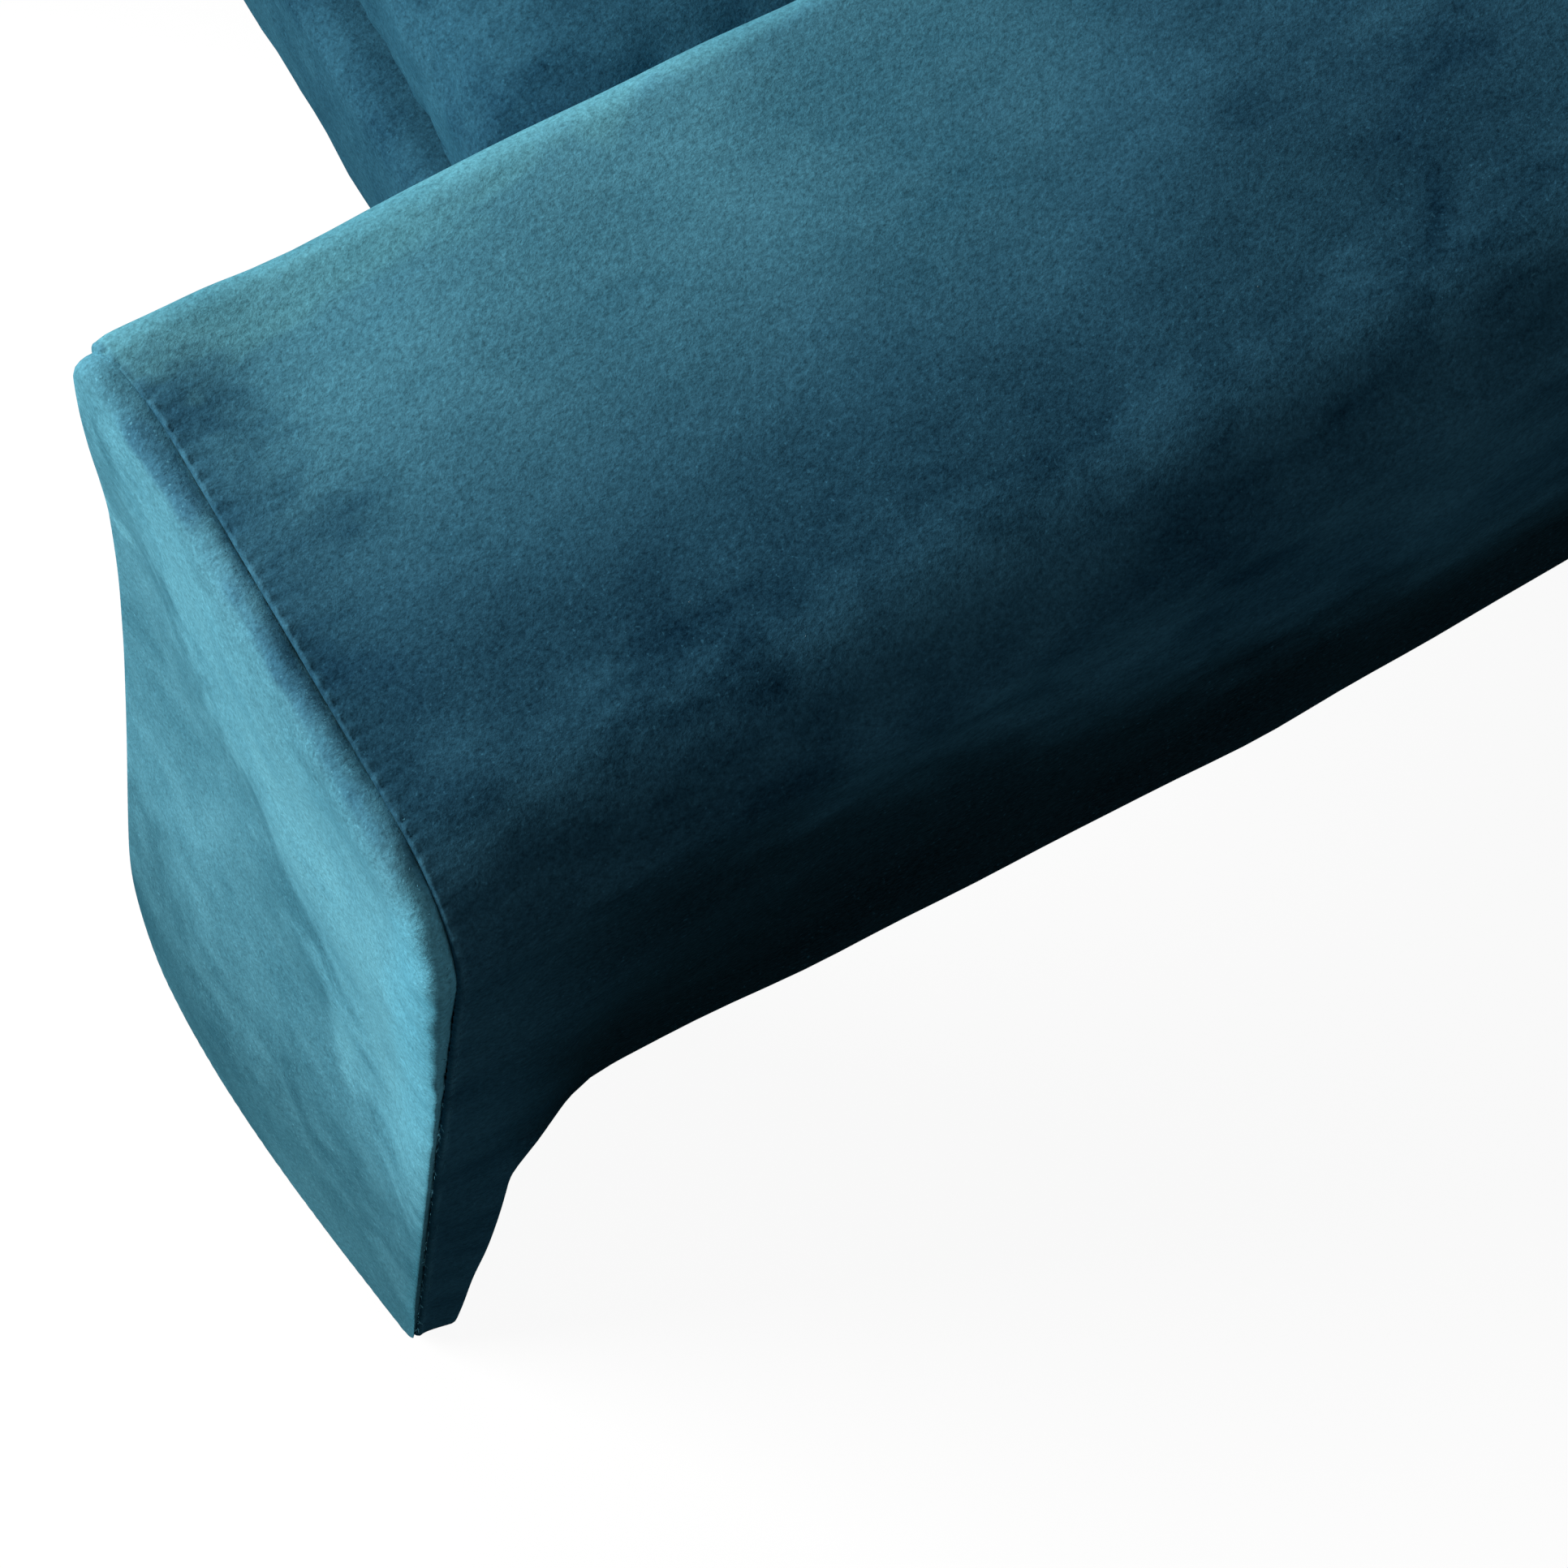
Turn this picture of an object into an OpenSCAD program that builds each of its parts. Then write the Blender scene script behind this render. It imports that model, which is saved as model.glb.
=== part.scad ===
/* [Arms] */
// Width of each arm
arm_w = 250; // [210:5:290]
// Height of the top of the arm above the floor
arm_h = 480; // [450:5:540]
// Length of the arm along its top
arm_len = 800; // [760:5:860]
// Height of the lower edge of the arm between its legs
arch_h = 232; // [215:1:245]
// Radius where a leg runs into that lower edge
arch_r = 60; // [30:1:80]
// Radius of the soft top edge on the outer side
outer_r = 48; // [35:1:60]
// Radius of the top edge on the seat side
inner_r = 14; // [10:1:30]
// How far each leg tip stands out beyond the end of the top
splay = 65; // [50:1:80]
// How far the leg is drawn in at the floor on the seat side
taper_in = 12; // [8:1:35]
// How far the leg is drawn in at the floor on the outer side
taper_out = 6; // [2:1:12]
// Radius of the leg's bottom corner on the seat side
tip_in_r = 40; // [10:1:45]
// Radius of the leg's bottom corner on the outer side
tip_out_r = 9; // [4:1:16]

/* [Arm layers] */
// Thickness of the velvet with its wadding
cover_t = 3; // [2:0.5:4]
// Thickness of the end panels at their sewn edge
panel_t = 4; // [3:0.5:6]
// How far the end panels swell out near the top
dome_h = 10; // [4:1:14]
// Thickness of the end foam at the leg tip
end_foam_tip = 1; // [1:0.5:3]
// Thickness of the end foam at the top of the arm
end_foam_top = 34; // [24:1:38]
// Thickness of the plywood leg boards, rails and top board
board_t = 16; // [14:1:18]
// Thickness of the foam on the top board
top_foam_t = 30; // [24:1:36]
// Thickness of the foam on the side rails
side_foam_t = 9; // [6:1:12]
// Length of the glue blocks inside the arm, along its width
arm_block = 28; // [20:1:40]
// Depth of the glue blocks inside the arm, along its length
arm_block_d = 26; // [18:1:34]

/* [Seat] */
// Clear width between the arms
seat_w = 520; // [500:5:580]
// Distance of the seat front behind the front end of the arm tops
setback = 150; // [120:5:170]
// Height of the underside of the seat frame
seat_bottom = 195; // [190:1:205]
// Height of the seat rails
rail_h = 75; // [70:1:80]
// Thickness of the seat rails
rail_t = 22; // [20:1:24]
// Foam in front of the front rail
front_pad_t = 12; // [8:1:16]
// Front of the rear seat rail, measured from the rear end of the arm tops
rear_rail_in = 120; // [115:1:130]
// Number of zigzag springs
spring_n = 5; // [4:1:6]
// Number of bars in each zigzag spring
spring_bars = 15; // [11:2:17]
// Wire of the zigzag springs
spring_wire = 3.6; // [3:0.1:4]
// Width of a zigzag spring
spring_w = 50; // [40:1:56]
// Felt over the springs
felt_t = 3; // [2:0.5:4]
// Foam of the seat deck
deck_foam_t = 18; // [14:1:20]
// Deck cloth and dust cover
cloth_t = 2; // [1:0.5:2.5]
// Height of the seat cushion at its edge
cushion_edge = 70; // [60:1:80]
// Crown of the seat cushion above its edge
cushion_crown = 22; // [10:1:28]
// How far the cushion sides draw in between the corners
cushion_draw = 5; // [2:1:8]
// Corner radius of the seat cushion
cushion_r = 34; // [20:1:50]

/* [Back] */
// Lean of the back, in degrees
rake = 12; // [10:0.5:13]
// Length of the back frame, along its lean
back_len = 550; // [520:5:570]
// Thickness of the back at its sewn edge
back_t = 112; // [108:1:116]
// Crown of the back in front of its edge
back_crown = 18; // [8:1:20]
// How far the sides of the back draw in between the corners
back_draw = 3; // [1:0.5:5]
// Corner radius of the back
back_r = 52; // [35:1:60]
// Width of each stile, across the chair
stile_w = 25; // [20:1:30]
// Depth of the stiles and back rails, front to rear
stile_d = 42; // [36:1:44]
// Height of the rails of the back frame
back_rail_h = 60; // [45:1:70]
// Number of webbing straps
strap_n = 4; // [3:1:5]
// Width of a webbing strap
strap_w = 50; // [40:1:60]
// Thickness of a webbing strap
strap_t = 1.6; // [1.2:0.1:2]

/* [Fittings] */
// Diameter of the bolts that hold the arms to the seat
bolt_d = 8; // [6:1:8]
// Head diameter of those bolts
bolt_head_d = 16; // [14:1:18]
// Washer diameter
washer_d = 22; // [19:1:24]
// Flange diameter of the tee nuts
tee_d = 22; // [20:1:24]
// Screw diameter
screw_d = 4.5; // [4:0.5:5]
// Screw length
screw_l = 44; // [40:1:46]
// Leg length of the triangular corner blocks
block_l = 60; // [55:1:70]
// Height of the corner blocks
block_h = 45; // [35:1:60]
// Diameter of the glides
glide_d = 15; // [12:0.5:16]
// Height of the glides
glide_h = 4; // [3:0.5:6]
// Diameter of the nails of the glides
nail_d = 3; // [2:0.5:3.5]
// Length of the nails of the glides
nail_l = 22; // [16:1:28]

/* [Hidden] */
$fn = 64;
velvet = "#235468";
velvet_light = "#4f8ba0";
ply = "#d8b98a";
beech = "#c99f6c";
foam = "#efe6c8";
felt = "#8f8c84";
black_cloth = "#26262a";
steel = "#a9adb2";
nylon = "#3a3a3d";
// Gap beside a soft curved surface
soft_gap = 0.3;
// Gap round a shank in its hole
hole_gap = 0.2;
// How far a rounded corner's arc stands inside the sides that it joins
arc_relief = 0.01;
// Overrun of a cut past the face that it opens
over = 2;
// The whole chair stands centred, with the middle of the arm length over the origin
centre_y = arm_len / 2;
// Shares of the way from an edge of an end panel to its spine, ring by ring
panel_ring_shares = [0, 0.08, 0.2, 0.36, 0.58];
// Where the spine of an end panel starts and stops, as shares of its height
spine_low_share = 0.27;
spine_high_share = 0.76;
// The legs start to draw in this far below the lower edge of the arm
taper_drop = 14;
// Share of the arch radius that the arm rails run down beside the legs
rail_end_share = 0.6;
// Points on each rounded corner of a soft outline, and the longest step along its sides
corner_points = 6;
outline_step_share = 0.18;
// Front of the back at its foot, ahead of the rear seat rail
back_ahead = 42;
// Foot of the lean above the underside of the seat
back_raise = 10;
// Bottom edge of the padded back, along its lean
back_low = 95;
// Foot of the stiles, along the lean
stile_foot = -8;
// Padding round the sides and top of the back frame
back_side_pad = 19;
// Gap between the back and each arm
back_gap = 2;
// The deck stops this far ahead of the rear rail
deck_short = 22;
// The seat cushion stops this far ahead of the rear rail
cushion_short = 26;

// Outlines are listed anticlockwise
function unit(v) = v / norm(v);
function ahead(p, i) = unit(p[(i + 1) % len(p)] - p[i]);
function before(p, i) = ahead(p, (i + len(p) - 1) % len(p));
function inward(d) = [-d[1], d[0]];
function turn(p, i) = let (u = before(p, i), v = ahead(p, i)) atan2(u[0] * v[1] - u[1] * v[0], u * v);
function reach(p, i, r) = r * tan(turn(p, i) / 2);
function arc_centre(p, i, r) = p[i] - before(p, i) * reach(p, i, r) + inward(before(p, i)) * r;
// An outline drawn in by d on every side
function drawn_in(p, d) = [for (i = [0 : len(p) - 1])
    let (a = inward(before(p, i)), b = inward(ahead(p, i))) p[i] + (a + b) * d / (1 + a * b)];
// Points round an outline whose corners have the radii r
function round_points(p, r, n) = [for (i = [0 : len(p) - 1]) each r[i] <= 0 ? [p[i]] :
    let (c = arc_centre(p, i, r[i]), o = inward(before(p, i)), a = atan2(-o[1], -o[0]), t = turn(p, i))
    [for (k = [0 : n]) c + r[i] * [cos(a + t * k / n), sin(a + t * k / n)]]];
// The same points with extra ones along any side longer than step
function with_steps(p, step) = [for (i = [0 : len(p) - 1])
    let (q = p[(i + 1) % len(p)], n = max(1, floor(norm(q - p[i]) / step)))
    each [for (k = [0 : n - 1]) p[i] + (q - p[i]) * k / n]];

// A convex outline with true arcs at its corners
module rounded(p, r) {
    polygon([for (i = [0 : len(p) - 1]) each r[i] <= 0 ? [p[i]] :
        [p[i] - before(p, i) * reach(p, i, r[i]), p[i] + ahead(p, i) * reach(p, i, r[i])]]);
    for (i = [0 : len(p) - 1])
        if (r[i] > 0) translate(arc_centre(p, i, r[i])) circle(r = r[i] - arc_relief);
}

// Puts an outline of y and z along x, from x0 on
module along_x(x0, length) {
    translate([x0, 0, 0]) rotate([90, 0, 90]) linear_extrude(length) children();
}

// Puts an outline of x and z along y, from y0 on
module along_y(y0, length) {
    translate([0, y0 + length, 0]) rotate([90, 0, 0]) linear_extrude(length) children();
}

// Joins rings of n points each into a closed skin, with a flat face at both ends
module ringed(rings) {
    n = len(rings[0]);
    last = len(rings) - 1;
    points = [for (ring = rings) each ring];
    faces = concat(
        [[for (i = [0 : n - 1]) i]],
        [for (k = [0 : last - 1], i = [0 : n - 1]) each
            let (a = k * n + i, b = k * n + (i + 1) % n) [[a, a + n, b], [b, a + n, b + n]]],
        [[for (i = [n - 1 : -1 : 0]) last * n + i]]);
    polyhedron(points, faces);
}

// Arm: its front view runs from the seat side at zero to the outer side at arm_w
leg_z = glide_h;
inner_x = seat_w / 2;
taper_z = arch_h - taper_drop;
arm_front = [[taper_in, leg_z], [arm_w - taper_out, leg_z], [arm_w, taper_z], [arm_w, arm_h],
    [0, arm_h], [0, taper_z]];
arm_front_r = [tip_in_r, tip_out_r, 0, outer_r, inner_r, 0];
rise = arm_h - leg_z;
slope = splay / rise;
board_slope = (splay + end_foam_top - end_foam_tip) / rise;
// Front face of the arm, and the faces behind it, as distances along the arm at a height
function face_y(z) = -slope * (arm_h - z);
function end_foam_at(z) = end_foam_tip + (end_foam_top - end_foam_tip) * (z - leg_z) / rise;
function board_front(z) = face_y(z) + panel_t + end_foam_at(z);
function board_back(z) = board_front(z) + board_t;
function leg_back(z) = board_back(z) + cover_t * sqrt(1 + pow(board_slope, 2));
board_top = arm_h - cover_t - top_foam_t - board_t;
arch = [[leg_back(leg_z - over), leg_z - over], [arm_len - leg_back(leg_z - over), leg_z - over],
    [arm_len - leg_back(arch_h), arch_h], [leg_back(arch_h), arch_h]];

module arm_section(inset) {
    rounded(drawn_in(arm_front, inset), [for (r = arm_front_r) max(0, r - inset)]);
}

module arch_opening(grow) {
    rounded(drawn_in(arch, -grow), [0, 0, arch_r + grow, arch_r + grow]);
}

// The side view between two faces that lean alike at both ends
module between(low, high, start_low, start_high) {
    polygon([[start_low, low], [arm_len - start_low, low], [arm_len - start_high, high], [start_high, high]]);
}

module side_view_of_cover() {
    difference() {
        between(leg_z, arm_h, face_y(leg_z) + panel_t, face_y(arm_h) + panel_t);
        arch_opening(0);
    }
}

// The side view of what fills the space between the leg boards, above the arch. Its
// pointed ends stop where the curve has drawn clear of the leg
rail_low = arch_h - arch_r * rail_end_share;

module side_view_of_rail(top) {
    difference() {
        between(rail_low, top, board_back(rail_low), board_back(top));
        arch_opening(cover_t);
    }
}

side_edge = cover_t + soft_gap;
rail_inset = side_edge + side_foam_t;

// Puts an arm, drawn from its seat side out, on the right of the seat
module placed_arm() {
    translate([inner_x, -centre_y, 0]) children();
}

module arm_cover() {
    color(velvet) placed_arm() difference() {
        intersection() {
            along_y(-splay, arm_len + 2 * splay) arm_section(0);
            along_x(0, arm_w) side_view_of_cover();
        }
        along_y(-splay - over, arm_len + 2 * (splay + over)) arm_section(cover_t);
        bolt_holes(bolt_d / 2 + hole_gap, -over, rail_inset);
        nail_holes();
    }
}

// The strip that closes the arch: a length up each leg and round its bend, sewn to one
// along under the arm
facing_seam = leg_back(arch_h - arch_r) + arch_r * sqrt(1 + pow(board_slope, 2)) + cover_t;
facing_lengths = [[-splay, facing_seam - soft_gap], [facing_seam, arm_len - facing_seam],
    [arm_len - facing_seam + soft_gap, arm_len + splay]];

module arm_arch_facing() {
    for (run = facing_lengths) color(velvet) placed_arm() intersection() {
        along_y(run[0], run[1] - run[0]) arm_section(side_edge);
        along_x(0, arm_w) difference() {
            arch_opening(cover_t);
            arch_opening(0);
        }
    }
}

// An end panel: flat behind, swelling forward from its sewn edge
module end_panel() {
    edge = with_steps(round_points(arm_front, arm_front_r, corner_points), arm_w * outline_step_share);
    low = leg_z + rise * spine_low_share;
    high = leg_z + rise * spine_high_share;
    last = panel_ring_shares[len(panel_ring_shares) - 1];
    function spine(p) = [arm_w / 2, min(high, max(low, p[1]))];
    function swell(z, s) = dome_h * sin(90 * s / last) * sqrt((z - leg_z) / rise);
    function ring(s) = [for (p = edge) let (q = p + (spine(p) - p) * s)
        [q[0], face_y(q[1]) - swell(q[1], s), q[1]]];
    back = [for (p = edge) [p[0], face_y(p[1]) + panel_t, p[1]]];
    ringed(concat([back], [for (s = panel_ring_shares) ring(s)]));
}

module arm_front_panel() {
    color(velvet_light) placed_arm() end_panel();
}

module arm_rear_panel() {
    color(velvet_light) placed_arm() translate([0, arm_len, 0]) mirror([0, 1, 0]) end_panel();
}

module arm_top_foam() {
    color(foam) placed_arm() intersection() {
        along_y(-splay, arm_len + 2 * splay) arm_section(side_edge);
        along_x(0, arm_w) between(arm_h - cover_t - top_foam_t, arm_h,
            face_y(arm_h - cover_t - top_foam_t) + panel_t, face_y(arm_h) + panel_t);
    }
}

module side_foam(x0) {
    color(foam) placed_arm() difference() {
        intersection() {
            along_y(-splay, arm_len + 2 * splay) arm_section(side_edge);
            along_x(x0, side_foam_t) side_view_of_rail(board_top + board_t);
        }
        bolt_holes(bolt_d / 2 + hole_gap, -over, arm_w / 2);
    }
}

module arm_outer_foam() {
    side_foam(arm_w - rail_inset);
}

module arm_inner_foam() {
    side_foam(side_edge);
}

module end_foam() {
    top = board_top + board_t;
    along_x(0, arm_w) polygon([[face_y(leg_z) + panel_t, leg_z], [board_front(leg_z), leg_z],
        [board_front(top), top], [face_y(top) + panel_t, top]]);
}

module arm_end_foams() {
    color(foam) placed_arm() intersection() {
        along_y(-splay, arm_len + 2 * splay) arm_section(side_edge);
        union() {
            end_foam();
            translate([0, arm_len, 0]) mirror([0, 1, 0]) end_foam();
        }
    }
}

glide_y = board_front(leg_z) + board_t / 2;
glide_xs = [taper_in + tip_in_r + glide_d / 2, arm_w - taper_out - tip_out_r - glide_d];

module leg_board() {
    difference() {
        intersection() {
            along_y(-splay, arm_len) arm_section(side_edge);
            along_x(0, arm_w) polygon([[board_front(leg_z), leg_z], [board_back(leg_z), leg_z],
                [board_back(board_top), board_top], [board_front(board_top), board_top]]);
        }
        nail_holes();
    }
}

module nail_holes() {
    for (x = glide_xs, y = [glide_y, arm_len - glide_y])
        translate([x, y, leg_z - over]) cylinder(d = nail_d + 2 * hole_gap, h = nail_l + over);
}

module arm_front_leg_board() {
    color(ply) placed_arm() leg_board();
}

module arm_rear_leg_board() {
    color(ply) placed_arm() translate([0, arm_len, 0]) mirror([0, 1, 0]) leg_board();
}

module arm_top_board() {
    y0 = board_front(board_top + board_t);
    color(ply) placed_arm() translate([rail_inset, y0, board_top])
        cube([arm_w - 2 * rail_inset, arm_len - 2 * y0, board_t]);
}

module arm_outer_rail() {
    color(ply) placed_arm() along_x(arm_w - rail_inset - board_t, board_t) side_view_of_rail(board_top);
}

module arm_inner_rail() {
    color(ply) placed_arm() difference() {
        along_x(rail_inset, board_t) side_view_of_rail(board_top);
        bolt_holes(tee_barrel_d / 2 + hole_gap, rail_inset - over, rail_inset + board_t + over);
    }
}

// Upright blocks glued in the four inner corners of an arm, under the top board
module arm_glue_blocks() {
    low = arch_h + arch_r;
    x0s = [rail_inset + board_t, arm_w - rail_inset - board_t - arm_block];
    color(beech) placed_arm() for (x0 = x0s, end = [0, 1])
        translate([0, end * arm_len, 0]) mirror([0, end, 0])
            along_x(x0, arm_block) polygon([[board_back(low), low], [board_back(low) + arm_block_d, low],
                [board_back(board_top) + arm_block_d, board_top], [board_back(board_top), board_top]]);
}

// Bolts: places along the arm between the seat's corner blocks, at one height in the overlap
// of the seat rail and the arm rail
bolt_z = (arch_h + cover_t + seat_bottom + rail_h) / 2;
front_rail_y = setback + cover_t + front_pad_t;
rear_rail_y = arm_len - rear_rail_in;
// Room between a washer and the corner block beside it
bolt_room = 18;
bolt_y0 = front_rail_y + rail_t + block_l + bolt_room + washer_d / 2;
bolt_y1 = rear_rail_y - block_l - bolt_room - washer_d / 2;
bolt_shares = [0, 0.52, 1];
bolt_ys = [for (s = bolt_shares) bolt_y0 + (bolt_y1 - bolt_y0) * s];
tee_t = 1.6;
tee_wall = 1.2;
tee_barrel_l = 9;
tee_barrel_d = bolt_d + 2 * tee_wall;
washer_t = 1.6;
bolt_head_h = 5;

module bolt_holes(r, x0, x1) {
    for (y = bolt_ys)
        translate([x0, y, bolt_z]) rotate([0, 90, 0]) cylinder(r = r, h = x1 - x0);
}

module both_sides() {
    children();
    mirror([1, 0, 0]) children();
}

module arm_bolts() {
    length = rail_t + rail_inset + board_t + washer_t + tee_t;
    color(steel) both_sides() placed_arm() for (y = bolt_ys)
        translate([-rail_t - washer_t, y, bolt_z]) rotate([0, 90, 0]) {
            cylinder(d = bolt_d, h = length);
            difference() {
                translate([0, 0, -bolt_head_h]) cylinder(d = bolt_head_d, h = bolt_head_h);
                translate([0, 0, -bolt_head_h - over])
                    cylinder(d = bolt_head_d / 2, h = over + bolt_head_h / 2, $fn = 6);
            }
        }
}

module bolt_washers() {
    color(steel) both_sides() placed_arm() difference() {
        for (y = bolt_ys)
            translate([-rail_t - washer_t, y, bolt_z]) rotate([0, 90, 0])
                cylinder(d = washer_d, h = washer_t);
        bolt_holes(bolt_d / 2 + hole_gap, -rail_t - washer_t - over, over);
    }
}

module tee_nuts() {
    far = rail_inset + board_t;
    color(steel) both_sides() placed_arm() difference() {
        for (y = bolt_ys) translate([far, y, bolt_z]) rotate([0, 90, 0]) {
            cylinder(d = tee_d, h = tee_t);
            translate([0, 0, -tee_barrel_l]) cylinder(d = tee_barrel_d, h = tee_barrel_l + tee_t);
        }
        bolt_holes(bolt_d / 2 + hole_gap / 2, far - tee_barrel_l - over, far + tee_t + over);
    }
}

module glides() {
    color(nylon) both_sides() placed_arm() for (x = glide_xs, y = [glide_y, arm_len - glide_y])
        translate([x, y, 0]) cylinder(d = glide_d, h = glide_h);
}

module glide_nails() {
    color(steel) both_sides() placed_arm() for (x = glide_xs, y = [glide_y, arm_len - glide_y])
        translate([x, y, glide_h]) cylinder(d = nail_d, h = nail_l - glide_h);
}

// Seat frame
rail_top = seat_bottom + rail_h;
side_rail_x = inner_x - rail_t;
rear_rail_back = rear_rail_y + rail_t;
spring_z = rail_top + cloth_t;
felt_z = spring_z + spring_wire;
deck_z = felt_z + felt_t;
cloth_z = deck_z + deck_foam_t;
cushion_z = cloth_z + cloth_t + soft_gap;
deck_back = rear_rail_y - deck_short;

// Back: its own frame runs across x, up along the lean and from front to rear
back_y = rear_rail_y - back_ahead;
back_z = seat_bottom + back_raise;
function back_at(w, v) = [back_y + v * sin(rake) + w * cos(rake), back_z + v * cos(rake) - w * sin(rake)];
stile_x = side_rail_x - stile_w;
stile_front = back_t - stile_d;
stile_top = back_len - back_side_pad;
pad_w = seat_w - 2 * back_gap;

module placed_seat() {
    translate([0, -centre_y, 0]) children();
}

module seat_front_rail() {
    color(beech) placed_seat() difference() {
        translate([-inner_x, front_rail_y, seat_bottom]) cube([seat_w, rail_t, rail_h]);
        block_screw_holes();
    }
}

module seat_rear_rail() {
    color(beech) placed_seat() difference() {
        translate([-side_rail_x, rear_rail_y, seat_bottom]) cube([2 * side_rail_x, rail_t, rail_h]);
        block_screw_holes();
    }
}

side_rail_end = back_at(back_t, 0)[0] - cover_t;

module seat_side_rails() {
    y0 = front_rail_y + rail_t;
    color(beech) difference() {
        both_sides() placed_seat() translate([side_rail_x, y0, seat_bottom])
            cube([rail_t, side_rail_end - y0, rail_h]);
        both_sides() placed_arm() bolt_holes(bolt_d / 2 + hole_gap, -rail_t - over, over);
        placed_seat() block_screw_holes();
        stile_screw_holes();
    }
}

block_z = seat_bottom + (rail_h - block_h) / 2;
screw_head_share = 0.6;
screw_head_d = screw_d * 2;
screw_head_h = screw_d * screw_head_share;
// A block's screw holes are sunk for this many head heights
screw_sink = 4;

// The four corners of the seat frame, each with its two rails along plus x and plus y
module at_corners() {
    for (side = [0, 1]) mirror([side, 0, 0]) {
        translate([-side_rail_x, front_rail_y + rail_t, 0]) children();
        translate([-side_rail_x, rear_rail_y, 0]) mirror([0, 1, 0]) children();
    }
}

// A screw runs square to a rail, through the block, at a share of the block's leg
screw_share = 0.55;
screw_seat = block_l * (1 - screw_share);

module block_screw_holes() {
    at_corners() block_screws(hole_gap);
}

module block_screws(gap) {
    d = block_l * screw_share;
    for (flip = [0, 1]) mirror([flip, -flip, 0])
        translate([d, screw_seat - screw_head_h, block_z + block_h / 2 + (flip - 0.5) * block_h / 3])
            rotate([90, 0, 0]) {
                cylinder(d = screw_d + 2 * gap, h = screw_l - screw_head_h);
                sunk = screw_head_h * (gap > 0 ? screw_sink : 1);
                translate([0, 0, -sunk]) cylinder(d = screw_head_d + 2 * gap, h = sunk);
            }
}

module seat_corner_blocks() {
    color(beech) placed_seat() difference() {
        at_corners() translate([0, 0, block_z]) linear_extrude(block_h)
            polygon([[0, 0], [block_l, 0], [0, block_l]]);
        block_screw_holes();
    }
}

module frame_screws() {
    color(steel) {
        placed_seat() at_corners() block_screws(0);
        stile_screws(0);
    }
}

// Zigzag springs from the front rail to the rear rail
spring_y0 = front_rail_y + rail_t / 2;
spring_y1 = rear_rail_y + rail_t / 2;
spring_pitch = (spring_y1 - spring_y0) / (spring_bars - 1);
spring_bend = spring_pitch / 2;
spring_edge_share = 0.4;
spring_xs = [for (i = [0 : spring_n - 1])
    (i - (spring_n - 1) / 2) * seat_w / (spring_n + spring_edge_share)];

module zigzag() {
    half = spring_w / 2 - spring_bend - spring_wire / 2;
    for (i = [0 : spring_bars - 1])
        translate([-half - spring_wire / 2, i * spring_pitch - spring_wire / 2])
            square([2 * half + spring_wire, spring_wire]);
    for (i = [0 : spring_bars - 2])
        translate([(i % 2 == 0 ? 1 : -1) * half, (i + 0.5) * spring_pitch]) intersection() {
            difference() {
                circle(r = spring_bend + spring_wire / 2);
                circle(r = spring_bend - spring_wire / 2);
            }
            translate([i % 2 == 0 ? 0 : -spring_pitch, -spring_pitch])
                square([spring_pitch, 2 * spring_pitch]);
        }
}

module seat_springs() {
    color(steel) placed_seat() for (x = spring_xs)
        translate([x, spring_y0, spring_z]) linear_extrude(spring_wire) zigzag();
}

// A clip is a plate on the rail, bent over the end bar of a spring
clip_w_share = 0.36;
clip_w = spring_w * clip_w_share;
clip_d = 18;
clip_t = 1.2;

module clip() {
    along_x(-clip_w / 2, clip_w) difference() {
        translate([-clip_d / 2, 0]) square([clip_d, cloth_t + spring_wire + clip_t]);
        translate([-clip_d / 2 + clip_t, cloth_t]) square([clip_d, spring_wire]);
    }
}

module spring_clips() {
    color(steel) placed_seat() for (x = spring_xs) {
        translate([x, spring_y0, rail_top]) clip();
        translate([x, spring_y1, rail_top]) mirror([0, 1, 0]) clip();
    }
}

deck_y = front_rail_y + rail_t;

module deck_layer(z, t, y0) {
    placed_seat() translate([-inner_x + soft_gap, y0, z])
        cube([seat_w - 2 * soft_gap, deck_back - y0, t]);
}

module spring_felt() {
    color(felt) deck_layer(felt_z + clip_t, felt_t - clip_t, deck_y);
}

module deck_foam() {
    color(foam) deck_layer(deck_z, deck_foam_t, deck_y);
}

module deck_cloth() {
    color(black_cloth) deck_layer(cloth_z, cloth_t, deck_y);
}

// The padded front of the seat: a foam strip on the rail and the velvet round it
front_roll_r = 14;
front_top = cloth_z + cloth_t;
front_shape = [[setback, seat_bottom], [deck_y, seat_bottom], [deck_y, front_top], [setback, front_top]];

module seat_front_outline(inset) {
    rounded(drawn_in(front_shape, inset), [front_roll_r / 2 - inset, 0, 0, front_roll_r - inset]);
}

module seat_front_pad() {
    color(foam) placed_seat() along_x(-inner_x + side_edge, seat_w - 2 * side_edge) difference() {
        seat_front_outline(cover_t);
        translate([front_rail_y, 0]) square([rail_t + over, rail_top + spring_clear]);
    }
}

spring_clear = cloth_t + spring_wire + clip_t + soft_gap;

module seat_front_cover() {
    color(velvet) placed_seat() along_x(-inner_x + soft_gap, seat_w - 2 * soft_gap) difference() {
        seat_front_outline(0);
        seat_front_outline(cover_t);
        translate([front_rail_y, 0]) square([rail_t + over, rail_top + spring_clear]);
    }
}

module dust_cover() {
    color(black_cloth) placed_seat() translate([-inner_x + soft_gap, front_rail_y, seat_bottom - cloth_t])
        cube([seat_w - 2 * soft_gap, side_rail_end - front_rail_y, cloth_t]);
}

// A crowned box cushion, flat below: its levels are shares of its edge height and of its crown
level_shares = [[0.035, 0], [0.01, 0.09], [0, 0.24], [0, 0.76], [0.01, 0.91], [0.035, 1]];
crown_shares = [[0.09, 0.3], [0.2, 0.62], [0.38, 0.88], [0.6, 1]];

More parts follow.
